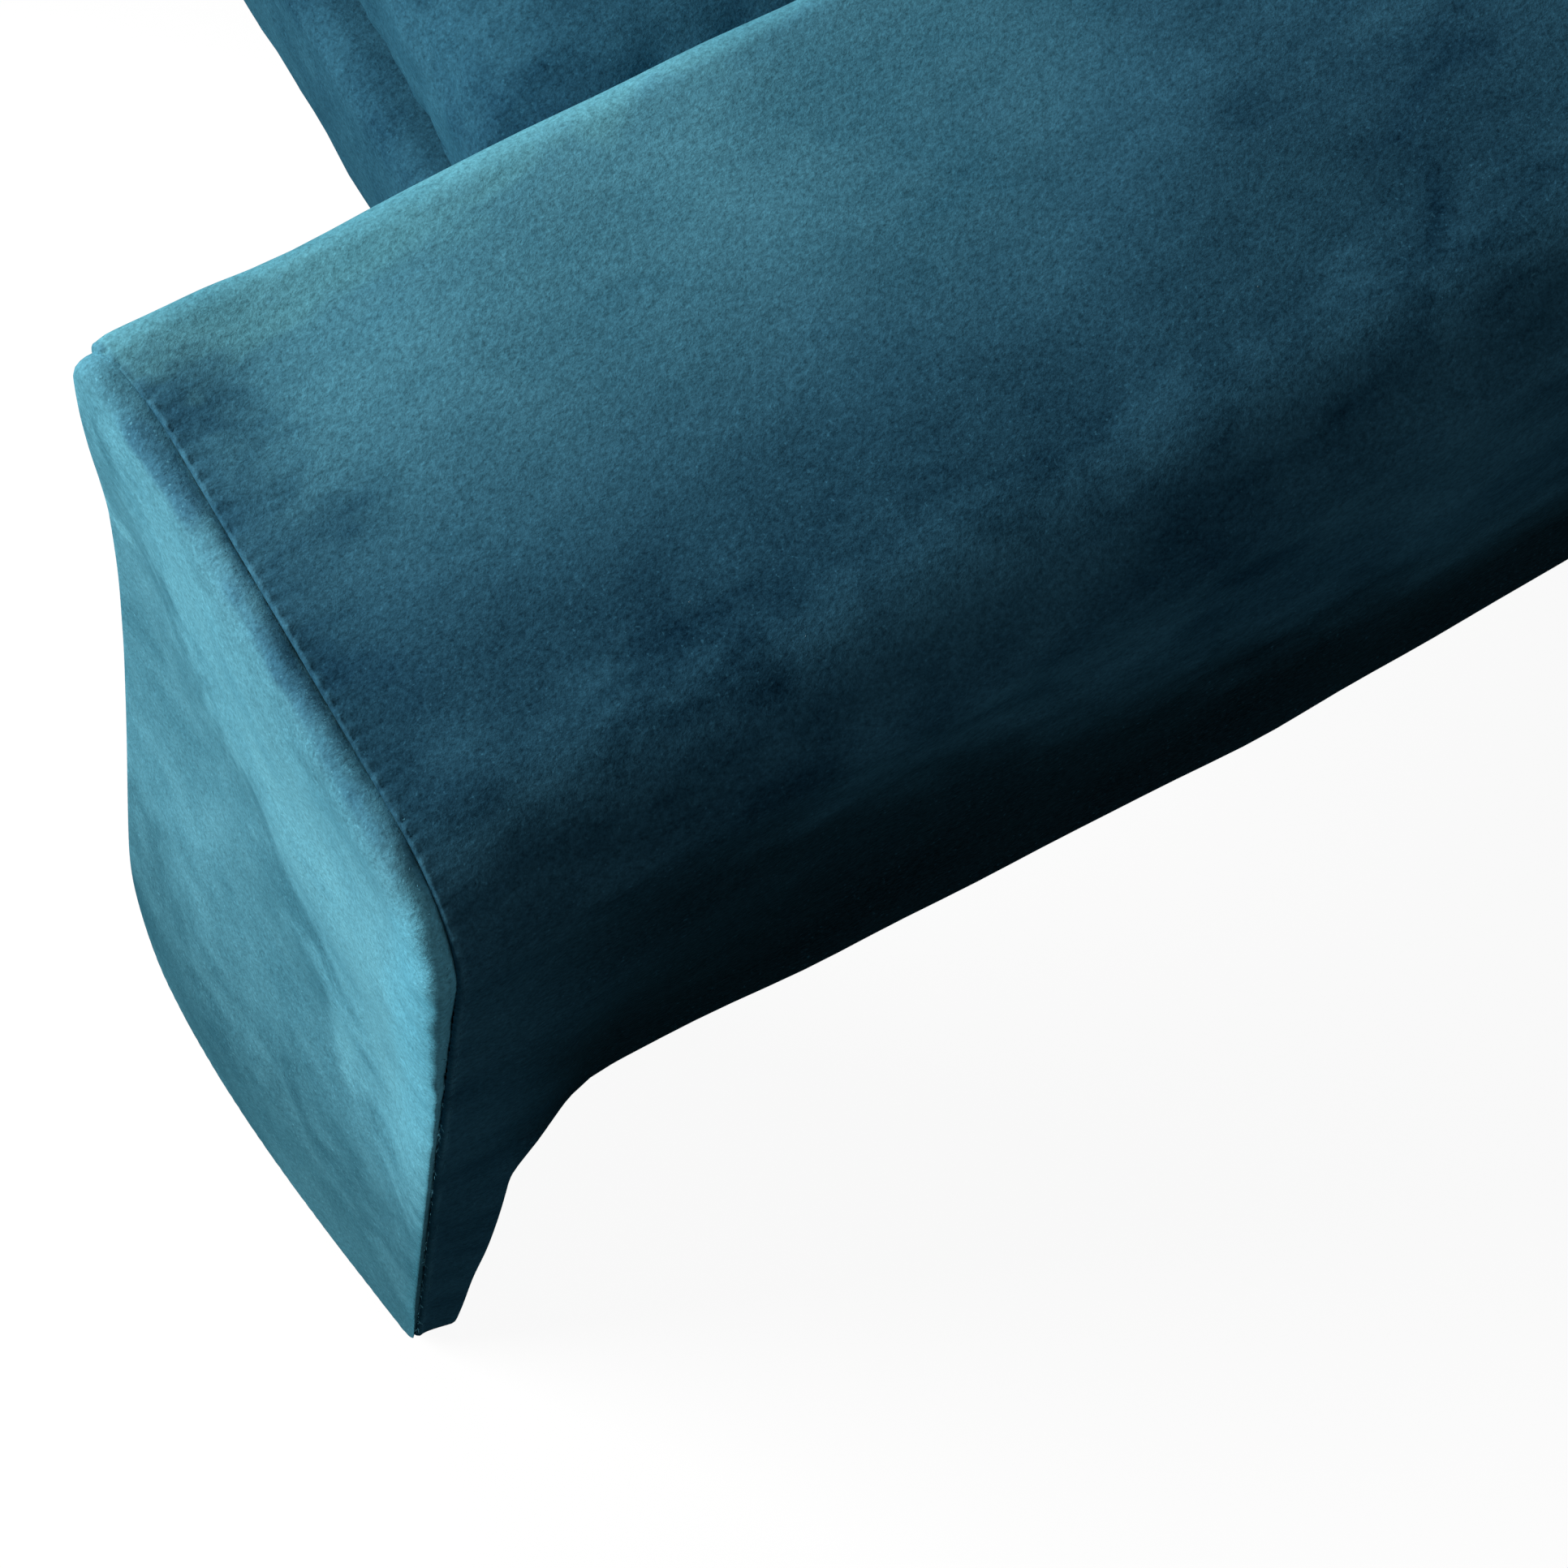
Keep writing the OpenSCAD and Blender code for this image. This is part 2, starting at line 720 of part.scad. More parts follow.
module pillow(w, d, edge, crown, draw, r, inset) {
    base = with_steps(round_points([[-w / 2, -d / 2], [w / 2, -d / 2], [w / 2, d / 2], [-w / 2, d / 2]],
        [r, r, r, r], corner_points), w * outline_step_share);
    function waist(p) = [
        p[0] * (1 - 2 * draw / w * (1 - pow(2 * p[1] / d, 2))),
        p[1] * (1 - 2 * draw / d * (1 - pow(2 * p[0] / w, 2)))];
    function sized(p) = [p[0] * (1 - 2 * inset / w), p[1] * (1 - 2 * inset / d)];
    function level(share, z) = [for (p = base) let (q = sized(waist(p)) * (1 - share)) [q[0], q[1], z]];
    high = edge - 2 * inset;
    ringed(concat(
        [for (s = level_shares) level(s[0], inset + high * s[1])],
        [for (s = crown_shares) level(s[0], inset + high + crown * s[1])]));
}

cushion_gap = 3;
cushion_w = seat_w - 2 * cushion_gap;
cushion_d = rear_rail_y - setback - cushion_short;
cushion_y = setback + cushion_d / 2;

module placed_cushion() {
    placed_seat() translate([0, cushion_y, cushion_z]) children();
}

module seat_pillow(inset) {
    pillow(cushion_w, cushion_d, cushion_edge, cushion_crown, cushion_draw, cushion_r, inset);
}

module cushion_cover() {
    color(velvet) placed_cushion() difference() {
        seat_pillow(0);
        seat_pillow(cover_t);
    }
}

module cushion_core() {
    color(foam) placed_cushion() seat_pillow(cover_t + soft_gap);
}

// Turns a shape with x across, y up the lean and z to the rear into its place
module placed_back() {
    placed_seat() translate([0, back_y, back_z]) rotate([90 - rake, 0, 0]) mirror([0, 0, 1]) children();
}

module back_stiles() {
    color(beech) difference() {
        placed_back() for (side = [0, 1]) mirror([side, 0, 0])
            translate([stile_x, stile_foot, stile_front]) cube([stile_w, stile_top - stile_foot, stile_d]);
        stile_screw_holes();
    }
}

module back_rail(v) {
    color(beech) placed_back() translate([-stile_x, v, stile_front])
        cube([2 * stile_x, back_rail_h, stile_d]);
}

module back_top_rail() {
    back_rail(stile_top - back_rail_h);
}

module back_middle_rail() {
    back_rail((stile_top + back_low) / 2);
}

module back_lower_rail() {
    back_rail(back_low);
}

// Two screws hold each stile to its side rail
stile_screw_shares = [0.3, 0.72];

module stile_screws(gap) {
    for (s = stile_screw_shares)
        let (z = seat_bottom + rail_h * s, y = back_y + (z - back_z) * tan(rake)
            + (stile_front + stile_d * s) / cos(rake))
        both_sides() placed_seat() translate([stile_x, y, z]) rotate([0, 90, 0]) {
            cylinder(d = screw_d + 2 * gap, h = screw_l);
            translate([0, 0, -screw_head_h]) cylinder(d = screw_head_d, h = screw_head_h);
        }
}

module stile_screw_holes() {
    stile_screws(hole_gap);
}

module back_webbing() {
    run = stile_top - back_rail_h - back_low;
    color(black_cloth) placed_back() for (i = [0 : strap_n - 1])
        translate([-side_rail_x, back_low + run * (i + 0.5) / strap_n, stile_front - strap_t])
            cube([2 * side_rail_x, strap_w, strap_t]);
}

// The outer form of the back, crowned towards the front
module back_form(inset) {
    height = back_len - back_low;
    translate([0, back_low + height / 2, back_t]) mirror([0, 0, 1])
        pillow(pad_w, height, back_t, back_crown, back_draw, back_r, inset);
}

module back_frame_space(gap) {
    front = stile_front - strap_t - gap;
    foot = back_low - 2 * over - cover_t;
    translate([-side_rail_x - gap, foot, front])
        cube([2 * (side_rail_x + gap), stile_top + gap - foot, back_t - front + over]);
}

module back_cover() {
    color(velvet) placed_back() difference() {
        back_form(0);
        back_form(cover_t);
        back_frame_space(soft_gap);
    }
}

module back_foam() {
    color(foam) placed_back() difference() {
        back_form(cover_t + soft_gap);
        back_frame_space(soft_gap);
    }
}

// The outside panel stops short of the back's edges by this share of its thickness
outside_edge_share = 0.07;

module back_outside_panel() {
    edge = back_t * outside_edge_share;
    w = pad_w - 2 * edge;
    top = back_len - edge;
    shape = [[-w / 2, stile_foot], [w / 2, stile_foot], [w / 2, top], [-w / 2, top]];
    color(velvet) placed_back() translate([0, 0, back_t]) linear_extrude(cover_t)
        rounded(shape, [0, 0, back_r - edge, back_r - edge]);
}

arm_cover();  // arm_cover_right
arm_front_panel();  // arm_front_panel_right
arm_rear_panel();  // arm_rear_panel_right
arm_arch_facing();  // arm_arch_facing_right
arm_top_foam();  // arm_top_foam_right
arm_outer_foam();  // arm_outer_foam_right
arm_inner_foam();  // arm_inner_foam_right
arm_end_foams();  // arm_end_foams_right
arm_front_leg_board();  // arm_front_leg_board_right
arm_rear_leg_board();  // arm_rear_leg_board_right
arm_top_board();  // arm_top_board_right
arm_outer_rail();  // arm_outer_rail_right
arm_inner_rail();  // arm_inner_rail_right
arm_glue_blocks();  // arm_glue_blocks_right
mirror([1, 0, 0]) arm_cover();  // arm_cover_left
mirror([1, 0, 0]) arm_front_panel();  // arm_front_panel_left
mirror([1, 0, 0]) arm_rear_panel();  // arm_rear_panel_left
mirror([1, 0, 0]) arm_arch_facing();  // arm_arch_facing_left
mirror([1, 0, 0]) arm_top_foam();  // arm_top_foam_left
mirror([1, 0, 0]) arm_outer_foam();  // arm_outer_foam_left
mirror([1, 0, 0]) arm_inner_foam();  // arm_inner_foam_left
mirror([1, 0, 0]) arm_end_foams();  // arm_end_foams_left
mirror([1, 0, 0]) arm_front_leg_board();  // arm_front_leg_board_left
mirror([1, 0, 0]) arm_rear_leg_board();  // arm_rear_leg_board_left
mirror([1, 0, 0]) arm_top_board();  // arm_top_board_left
mirror([1, 0, 0]) arm_outer_rail();  // arm_outer_rail_left
mirror([1, 0, 0]) arm_inner_rail();  // arm_inner_rail_left
mirror([1, 0, 0]) arm_glue_blocks();  // arm_glue_blocks_left
seat_front_rail();
seat_rear_rail();
seat_side_rails();
seat_corner_blocks();
seat_springs();
spring_clips();
spring_felt();
deck_foam();
deck_cloth();
seat_front_pad();
seat_front_cover();
dust_cover();
cushion_core();
cushion_cover();
back_stiles();
back_top_rail();
back_middle_rail();
back_lower_rail();
back_webbing();
back_foam();
back_cover();
back_outside_panel();
arm_bolts();
bolt_washers();
tee_nuts();
frame_screws();
glides();
glide_nails();
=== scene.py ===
import math

import bpy
import numpy as np
from mathutils import Matrix, Vector
from mathutils.bvhtree import BVHTree


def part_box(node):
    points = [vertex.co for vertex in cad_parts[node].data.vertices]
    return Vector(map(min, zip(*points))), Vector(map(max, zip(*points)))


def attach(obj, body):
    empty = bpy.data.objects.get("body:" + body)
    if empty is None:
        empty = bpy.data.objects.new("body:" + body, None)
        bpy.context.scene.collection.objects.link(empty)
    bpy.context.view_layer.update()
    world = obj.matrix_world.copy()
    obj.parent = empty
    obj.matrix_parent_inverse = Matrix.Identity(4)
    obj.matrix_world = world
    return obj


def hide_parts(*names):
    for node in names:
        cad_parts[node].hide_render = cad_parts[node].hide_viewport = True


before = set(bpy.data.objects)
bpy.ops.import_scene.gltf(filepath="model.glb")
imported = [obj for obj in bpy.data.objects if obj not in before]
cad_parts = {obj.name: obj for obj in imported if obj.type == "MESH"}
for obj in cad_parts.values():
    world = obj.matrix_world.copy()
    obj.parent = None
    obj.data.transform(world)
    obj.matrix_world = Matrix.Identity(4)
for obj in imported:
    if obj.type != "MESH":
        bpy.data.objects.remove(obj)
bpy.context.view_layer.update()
scene = bpy.context.scene
SIDES = ("right", "left")

# Sizes of the arms, in metres, from the frame and from the part's own values
cover_lo, cover_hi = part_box("arm_cover_right")
ARM_X = cover_lo.x
ARM_W = cover_hi.x - cover_lo.x
ARM_H = cover_hi.z
LEG_Z = cover_lo.z
PANEL_T = 0.004
SPLAY = 0.065
HALF = -SPLAY + PANEL_T - cover_lo.y
LEAN = SPLAY / (ARM_H - LEG_Z)
BOARD_T = 0.016
COVER_T = 0.003
END_FOAM_TIP, END_FOAM_TOP = 0.001, 0.034
BACK_LEAN = LEAN + (END_FOAM_TOP - END_FOAM_TIP) / (ARM_H - LEG_Z)
LEG_BACK_TIP = -SPLAY + PANEL_T + END_FOAM_TIP + BOARD_T + COVER_T * math.sqrt(1 + BACK_LEAN ** 2)
ARCH_H = 0.232
ARCH_R = 0.060
OUTER_R = 0.048
INNER_R = 0.014
TIP_IN_R = 0.040
TIP_OUT_R = 0.009
TAPER_IN = 0.012
TAPER_OUT = 0.006
TAPER_Z = ARCH_H - 0.014
TAPER_EASE = 0.020
FACING_IN = 0.0036

# Sewing and padding of the arms
SEAM_IN = 0.0015
STITCH = 0.0067
ARCH_STEPS = 46
FOOT_SWELL = 0.0105
FOOT_FLARE = 0.0045
SIDE_PINCH = 0.0075
SIDE_BELLY = 0.005
CORNER_PUFF = 0.0088
TOP_CROWN = 0.0045
FOLD_LIP = 0.0072
PANEL_CORNER = 0.60
PLATEAU = 0.0085
# What velvet does beside a seam: depths or heights, distances from the seam, and widths
EDGE_DEPTH, EDGE_W = 0.0018, 0.0015
CORNER_DEPTH, CORNER_W = 0.0040, 0.0075
RIDGE, RIDGE_AT, RIDGE_W = 0.0004, 0.0014, 0.0012
HOLE, HOLE_AT, HOLE_W = 0.0010, 0.0019, 0.0006
DIMPLE, DIMPLE_AT, DIMPLE_W = 0.0004, 0.005, 0.004
ARCH_DEPTH, ARCH_EDGE_W = 0.0035, 0.0045
FACING_DEPTH, FACING_W = 0.0022, 0.005
# Rings of an end panel: distance in from the seam, and height in front of the plain face
PANEL_PROFILE = [(0.0034, -0.0026), (0.0029, -0.0018), (0.0024, -0.0009), (0.0018, 0.0), (0.0012, 0.0011),
                 (0.0007, 0.0023), (0.0004, 0.0036), (0.0004, 0.0050), (0.0008, 0.0063), (0.0018, 0.0077),
                 (0.0034, 0.0089), (0.0062, 0.0100), (0.010, 0.0107), (0.015, 0.0111), (0.022, 0.0111),
                 (0.031, 0.0108), (0.043, 0.0102), (0.058, 0.0095), (0.077, 0.0089), (0.096, 0.0086),
                 (0.112, 0.0085)]


# Helpers for meshes
def add_object(name, data):
    piece = bpy.data.objects.new(name, data)
    scene.collection.objects.link(piece)
    return piece


def add_mesh(name, verts, faces, material, flip=False):
    verts = np.asarray(verts, float)
    if flip:
        verts = verts * [-1, 1, 1]
        faces = turned(faces)
    mesh = bpy.data.meshes.new(name)
    mesh.from_pydata(verts.tolist(), [], [tuple(int(i) for i in f) for f in faces])
    mesh.shade_smooth()
    mesh.materials.append(material)
    return add_object(name, mesh)


def per_vertex(piece, what):
    table = np.empty(len(piece.data.vertices) * 3)
    piece.data.vertices.foreach_get(what, table)
    return table.reshape(-1, 3)


def move_to(piece, places):
    piece.data.vertices.foreach_set("co", np.asarray(places, float).ravel())
    piece.data.update()


def mark(piece, shares):
    """Stores how much of the painted light or shade beside a seam each vertex takes, for the velvet."""
    table = piece.data.attributes.new("painted_seam_light_and_shade", "FLOAT", "POINT")
    table.data.foreach_set("value", np.clip(shares, 0, 1))


def turned(faces):
    return [tuple(reversed(f)) for f in faces]


def grid_faces(rows, cols):
    """Faces between rows of points, open at both ends."""
    corners = [r * cols + c for r in range(rows - 1) for c in range(cols - 1)]
    return [(k, k + 1, k + cols + 1, k + cols) for k in corners]


def ring_faces(count, rings):
    """Faces between closed rings of points, each further in than the last."""
    edges = [(i, (i + 1) % count) for i in range(count)]
    lows = range(0, (rings - 1) * count, count)
    return [(low + i, low + j, low + count + j, low + count + i) for low in lows for i, j in edges]


def smooth(a, b, x):
    """Goes smoothly from 0 to 1 as x goes from a to b."""
    t = np.clip((x - a) / (b - a), 0, 1)
    return t * t * (3 - 2 * t)


def bell(x, width):
    """1 where x is 0, and next to nothing two widths away."""
    return np.exp(-(x / width) ** 2)


def unit(vectors):
    return vectors / np.linalg.norm(vectors, axis=-1)[..., None]


class Waves:
    """Smooth noise in space: a seeded sum of sine waves."""

    def __init__(self, seed, wavelength, count=14):
        pick = np.random.default_rng(seed)
        way = unit(pick.normal(size=(count, 3)))
        self.way = way * (2 * math.pi / (wavelength * pick.uniform(0.7, 1.6, count)))[:, None]
        self.phase = pick.uniform(0, 2 * math.pi, count)

    def __call__(self, places):
        waves = np.sin(places @ self.way.T + self.phase)
        return waves.sum(axis=-1) / math.sqrt(len(self.phase) / 2)


WAVE_A, WAVE_B, WAVE_C = Waves(11, 0.16), Waves(12, 0.065), Waves(13, 0.022)


def finish_piece(piece, slot, *nodes, fill=None):
    """Puts a piece on the chair's one body, and hides the CAD parts it stands in for."""
    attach(piece, "root")
    if nodes:
        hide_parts(*nodes)


# Helpers for materials
def empty_tree(holder):
    """The node tree of a material or a world, with nothing in it."""
    holder.use_nodes = True
    holder.node_tree.nodes.clear()
    return holder.node_tree


def plug(socket, value):
    """Links a socket to another node's output, or sets it to a number or a colour."""
    if isinstance(value, bpy.types.NodeSocket):
        socket.id_data.links.new(value, socket)
    elif isinstance(value, tuple):
        socket.default_value = (*value[:3], 1) if len(socket.default_value) == 4 else value
    else:
        socket.default_value = value


def plug_all(node, inputs):
    for socket, value in inputs.items():
        plug(node.inputs[socket], value)


def add_node(kind, inputs, output=0, tree=None, **settings):
    """Adds a node to the tree that is given or that its inputs come from, and gives one of its outputs."""
    tree = tree or next(v.id_data for v in inputs.values() if isinstance(v, bpy.types.NodeSocket))
    node = tree.nodes.new(kind)
    for name, value in settings.items():
        setattr(node, name, value)
    plug_all(node, inputs)
    return node.outputs[output]


def end_tree(kind, shader):
    plug(shader.id_data.nodes.new(kind).inputs[0], shader)


def new_material(name):
    material = bpy.data.materials.new(name)
    tree = empty_tree(material)
    shader = tree.nodes.new("ShaderNodeBsdfPrincipled")
    end_tree("ShaderNodeOutputMaterial", shader.outputs[0])
    return material, tree, shader


def surface(shader, colour, roughness, normal):
    plug_all(shader, {"Base Color": colour, "Roughness": roughness, "Normal": normal})


def coordinates(tree, scale=(1, 1, 1), turn=(0, 0, 0), shift=(0, 0, 0)):
    place = add_node("ShaderNodeTexCoord", {}, "Object", tree)
    inputs = {"Vector": place, "Location": shift, "Rotation": turn, "Scale": scale}
    return add_node("ShaderNodeMapping", inputs)


def noise(vector, scale, detail=2.0, roughness=0.5, distortion=0.0):
    inputs = {"Vector": vector, "Scale": scale, "Detail": detail, "Roughness": roughness}
    return add_node("ShaderNodeTexNoise", inputs | {"Distortion": distortion})


def bands(tree, way, scale, distortion=0.0):
    """Soft stripes that follow one another along one way."""
    inputs = {"Vector": coordinates(tree), "Scale": scale, "Distortion": distortion}
    return add_node("ShaderNodeTexWave", inputs, 1, bands_direction=way)


def ramp(value, *stops):
    node = add_node("ShaderNodeValToRGB", {0: value}).node
    elements = node.color_ramp.elements
    while len(elements) < len(stops):
        elements.new(0.5)
    for element, (position, colour) in zip(elements, stops):
        element.position = position
        element.color = (*colour, 1) if isinstance(colour, tuple) else (colour, colour, colour, 1)
    return node.outputs[0]


def mix(share, a, b):
    return add_node("ShaderNodeMix", {0: share, 6: a, 7: b}, 2, data_type="RGBA")


def maths(operation, a, b=0.0):
    return add_node("ShaderNodeMath", {0: a, 1: b}, operation=operation)


def vector_maths(operation, a, b):
    second = "Scale" if operation == "SCALE" else 1
    return add_node("ShaderNodeVectorMath", {0: a, second: b}, operation=operation)


def product(*values):
    total = values[0]
    for value in values[1:]:
        total = maths("MULTIPLY", total, value)
    return total


def fade(value, start, stop):
    """What smooth does, in a material."""
    inputs = {0: value, 1: start, 2: stop}
    return add_node("ShaderNodeMapRange", inputs, interpolation_type="SMOOTHSTEP")


def bump(height, strength, distance, normal=None):
    inputs = {"Strength": strength, "Distance": distance, "Height": height}
    if normal is not None:
        inputs["Normal"] = normal
    return add_node("ShaderNodeBump", inputs)


# Materials
GRAIN_GAIN = 1.9
GRAIN_TINT = (0.020, 0.075, 0.110)
DARKEST = (0.0006, 0.0012, 0.0018)
SHEEN_ROUGHNESS = 0.36
SHEEN_TINT = (0.16, 0.73, 1.0)
PAINTED_SEAM_SHARE = 0.70
FLECK_GAIN = 1.8
# Scales of the velvet's noises, in waves per metre
CLOUD_SCALE, PATCH_SCALE, STROKE_SCALE = 6.5, 17, 60
GRAIN_SCALE, FLECK_SCALE, TIP_SCALE = 500, 640, 1100


def tones(nap, dark, light):
    middle = tuple((a + b) / 2 for a, b in zip(dark, light))
    return ramp(nap, (0.37, dark), (0.5, middle), (0.64, light))


def grained(colour, value):
    """Specks where a value departs from a half: a share of the colour, and a little fixed tint."""
    speck = maths("SUBTRACT", value, 0.5)
    share = maths("ADD", product(speck, GRAIN_GAIN), 1.0)
    own = vector_maths("SCALE", colour, share)
    tinted = vector_maths("SCALE", GRAIN_TINT, speck)
    return vector_maths("MAXIMUM", vector_maths("ADD", own, tinted), DARKEST)


def velvet(name, dark, light, sheen, seed, painted_light_zones=None, strokes=0.25, edge=None):
    """Short pile: clouds where the nap lies differently, strokes along it, and the grain of its tips, with
    painted light and shade laid over them where zones or seam tones are given.
    """
    material, tree, shader = new_material(name)
    shift = (seed, seed * 0.7, seed * 1.3)
    plain = coordinates(tree, shift=shift)
    cloud = noise(plain, CLOUD_SCALE, 3.5, 0.5, 0.5)
    patch = noise(coordinates(tree, (1, 0.7, 1), shift=shift), PATCH_SCALE, 3.0, 0.55, 0.8)
    stroke = noise(coordinates(tree, (1.0, 0.45, 1.0), (0.3, 0.2, 0.6), shift), STROKE_SCALE, 3.0, 0.6, 0.5)
    grain = noise(coordinates(tree, (1.0, 0.85, 1.0), (0.5, 0.0, 0.8), shift), GRAIN_SCALE, 3.0, 0.7)
    tips = noise(plain, TIP_SCALE, 2.0, 0.6)
    nap = mix(strokes, mix(0.42, cloud, patch), stroke)
    colour = tones(nap, dark, light)
    # Painted light and shade: lighter and darker copies of the tones where the light falls or the shade lies
    for share, *zone in painted_light_zones(patch, stroke) if painted_light_zones else []:
        colour = mix(share, colour, tones(nap, *zone))
    # Painted light or shade beside the seams: a painted highlight on the long piece's ridge, painted shade
    # along the end panel's edge
    if edge:
        seam = add_node("ShaderNodeAttribute", {}, "Fac", tree, attribute_name="painted_seam_light_and_shade")
        colour = mix(product(seam, PAINTED_SEAM_SHARE), colour, tones(nap, *edge))
    fleck = ramp(noise(plain, FLECK_SCALE, 1.0, 0.5), (0.67, 0.0), (0.77, 0.28))
    colour = mix(fleck, colour, tuple(c * FLECK_GAIN for c in light))
    pile = mix(0.35, grain, tips)
    rough = bump(stroke, 0.25, 0.002)
    rough = bump(grain, 0.45, 0.0009, rough)
    rough = bump(tips, 0.3, 0.0004, rough)
    surface(shader, grained(colour, pile), ramp(pile, (0.3, 0.92), (0.7, 0.78)), rough)
    sheen_inputs = {"Sheen Weight": sheen, "Sheen Roughness": SHEEN_ROUGHNESS, "Sheen Tint": SHEEN_TINT}
    plug_all(shader, sheen_inputs | {"Specular IOR Level": 0.0})
    return material


def uneven_places(patch, stroke, reach):
    """Distance from the arm's side by the seat, along and up, made uneven so that the edges of painted light
    and shade wander.
    """
    place = add_node("ShaderNodeTexCoord", {}, "Object", patch.id_data)
    parts = add_node("ShaderNodeSeparateXYZ", {0: place}).node.outputs
    uneven = maths("SUBTRACT", mix(0.35, patch, stroke), 0.5)
    across = maths("SUBTRACT", maths("ABSOLUTE", parts[0]), ARM_X)
    shift = product(uneven, reach)
    return [maths("ADD", value, shift) for value in (across, parts[1], parts[2])]


def long_piece_painted_light_and_shade(patch, stroke):
    """Painted light and shade on the long piece: lighter by the seat near the front, a painted sheen along
    the edge by the seat, and painted shade over the outer edge and down the outer side.
    """
    across, along, _ = uneven_places(patch, stroke, 0.16)
    inner = fade(across, 0.180, 0.010)
    front = product(fade(along, -0.400, -0.345), fade(along, 0.02, -0.14))
    ridge = product(fade(across, 0.130, 0.165), fade(across, 0.230, 0.190))
    outside = fade(across, 0.160, 0.240)
    rim = product(fade(across, 0.034, 0.004), fade(along, 0.05, -0.25))
    # The painted shade on the outer side starts lower towards the rear
    _, along, up = uneven_places(patch, stroke, 0.06)
    level = maths("ADD", up, product(along, 0.4))
    shade = product(fade(level, 0.362, 0.262), fade(along, -0.430, -0.310), outside)
    deep_painted_shade = product(fade(up, 0.370, 0.270), fade(along, -0.405, -0.365), outside)
    # Painted light by the seat near the front, painted sheen along the seat-side edge, painted shade over the
    # outer edge, and painted shade down the outer side, deepest low at the front
    return [(product(inner, front, 0.85), (0.046, 0.180, 0.265), (0.120, 0.370, 0.480)),
            (product(rim, 0.85), (0.085, 0.290, 0.370), (0.165, 0.470, 0.560)),
            (product(ridge, 0.45), (0.003, 0.015, 0.028), (0.016, 0.066, 0.108)),
            (product(shade, 0.88), (0.0030, 0.0060, 0.0085), (0.0070, 0.0180, 0.0270)),
            (product(deep_painted_shade, 0.90), (0.0030, 0.0045, 0.0060), (0.0060, 0.0100, 0.0140))]


def end_panel_painted_light_and_shade(patch, stroke):
    """Painted light and shade on an end panel: a painted highlight band beside the seam, a lighter painted
    rim round the outer corner, and painted shade at the foot.
    """
    across, _, up = uneven_places(patch, stroke, 0.20)
    highlight_band = fade(maths("ADD", up, across), 0.385, 0.475)
    crest = fade(up, 0.475, 0.440)
    foot = fade(up, 0.20, 0.04)
    across, _, up = uneven_places(patch, stroke, 0.06)
    rim = product(fade(across, 0.214, 0.238), fade(up, 0.20, 0.33))
    # A painted highlight band beside the seam, painted shade at the foot, and painted light on the outer rim
    return [(product(highlight_band, crest, 0.85), (0.120, 0.390, 0.520), (0.210, 0.590, 0.730)),
            (product(foot, 0.80), (0.022, 0.090, 0.130), (0.050, 0.170, 0.225)),
            (product(rim, 0.75), (0.125, 0.460, 0.630), (0.205, 0.650, 0.840))]


def woven(name, dark, light, threads, roughness):
    """Plain weave from two sets of waves, with uneven wear."""
    material, tree, shader = new_material(name)
    both = product(*[bands(tree, way, threads / (2 * math.pi), 0.6) for way in ("X", "Y")])
    worn = mix(0.5, both, noise(coordinates(tree), 14, 3.0))
    colour = ramp(worn, (0.2, dark), (0.75, light))
    surface(shader, colour, roughness, bump(both, 0.5, 0.0005))
    return material


def wood(name, dark, light, plies):
    """Grain stretched along the chair, with pores, and glue lines where it is plywood."""
    material, tree, shader = new_material(name)
    along = coordinates(tree, (1, 0.08, 1))
    pores = noise(along, 420, 2.0)
    figure = mix(0.25, noise(along, 60, 6.0, 0.6, 1.2), pores)
    colour = ramp(figure, (0.3, dark), (0.6, light), (0.8, dark))
    if plies:
        lines = product(bands(tree, "DIAGONAL", 110.0), 0.25)
        colour = mix(lines, colour, dark)
    roughness = ramp(pores, (0.3, 0.68), (0.7, 0.55))
    surface(shader, colour, roughness, bump(pores, 0.25, 0.0004))
    return material


def metal(name, dark, light, roughness):
    """Drawn or plated steel with faint marks along it."""
    material, tree, shader = new_material(name)
    cloud = noise(coordinates(tree, (1, 6, 1)), 90, 3.0)
    marks = noise(coordinates(tree), 600, 2.0)
    colour = ramp(cloud, (0.3, dark), (0.7, light))
    worn = ramp(cloud, (0.3, roughness + 0.12), (0.7, roughness))
    surface(shader, colour, worn, bump(marks, 0.15, 0.0002))
    plug(shader.inputs["Metallic"], 1.0)
    return material


def moulded(name, dark, light):
    """Moulded plastic with a fine grain."""
    material, tree, shader = new_material(name)
    grain = noise(coordinates(tree), 700, 2.0)
    colour = ramp(grain, (0.3, dark), (0.7, light))
    roughness = ramp(grain, (0.3, 0.62), (0.7, 0.5))
    surface(shader, colour, roughness, bump(grain, 0.2, 0.0002))
    return material


# The seam tones are painted: a painted highlight beside the long piece's seams, painted shade beside the end
# panels' seams
VELVET = velvet("velvet_long_piece", (0.011, 0.048, 0.088), (0.042, 0.150, 0.230), 0.28, 0.0,
                long_piece_painted_light_and_shade, edge=((0.030, 0.120, 0.190), (0.075, 0.230, 0.330)))
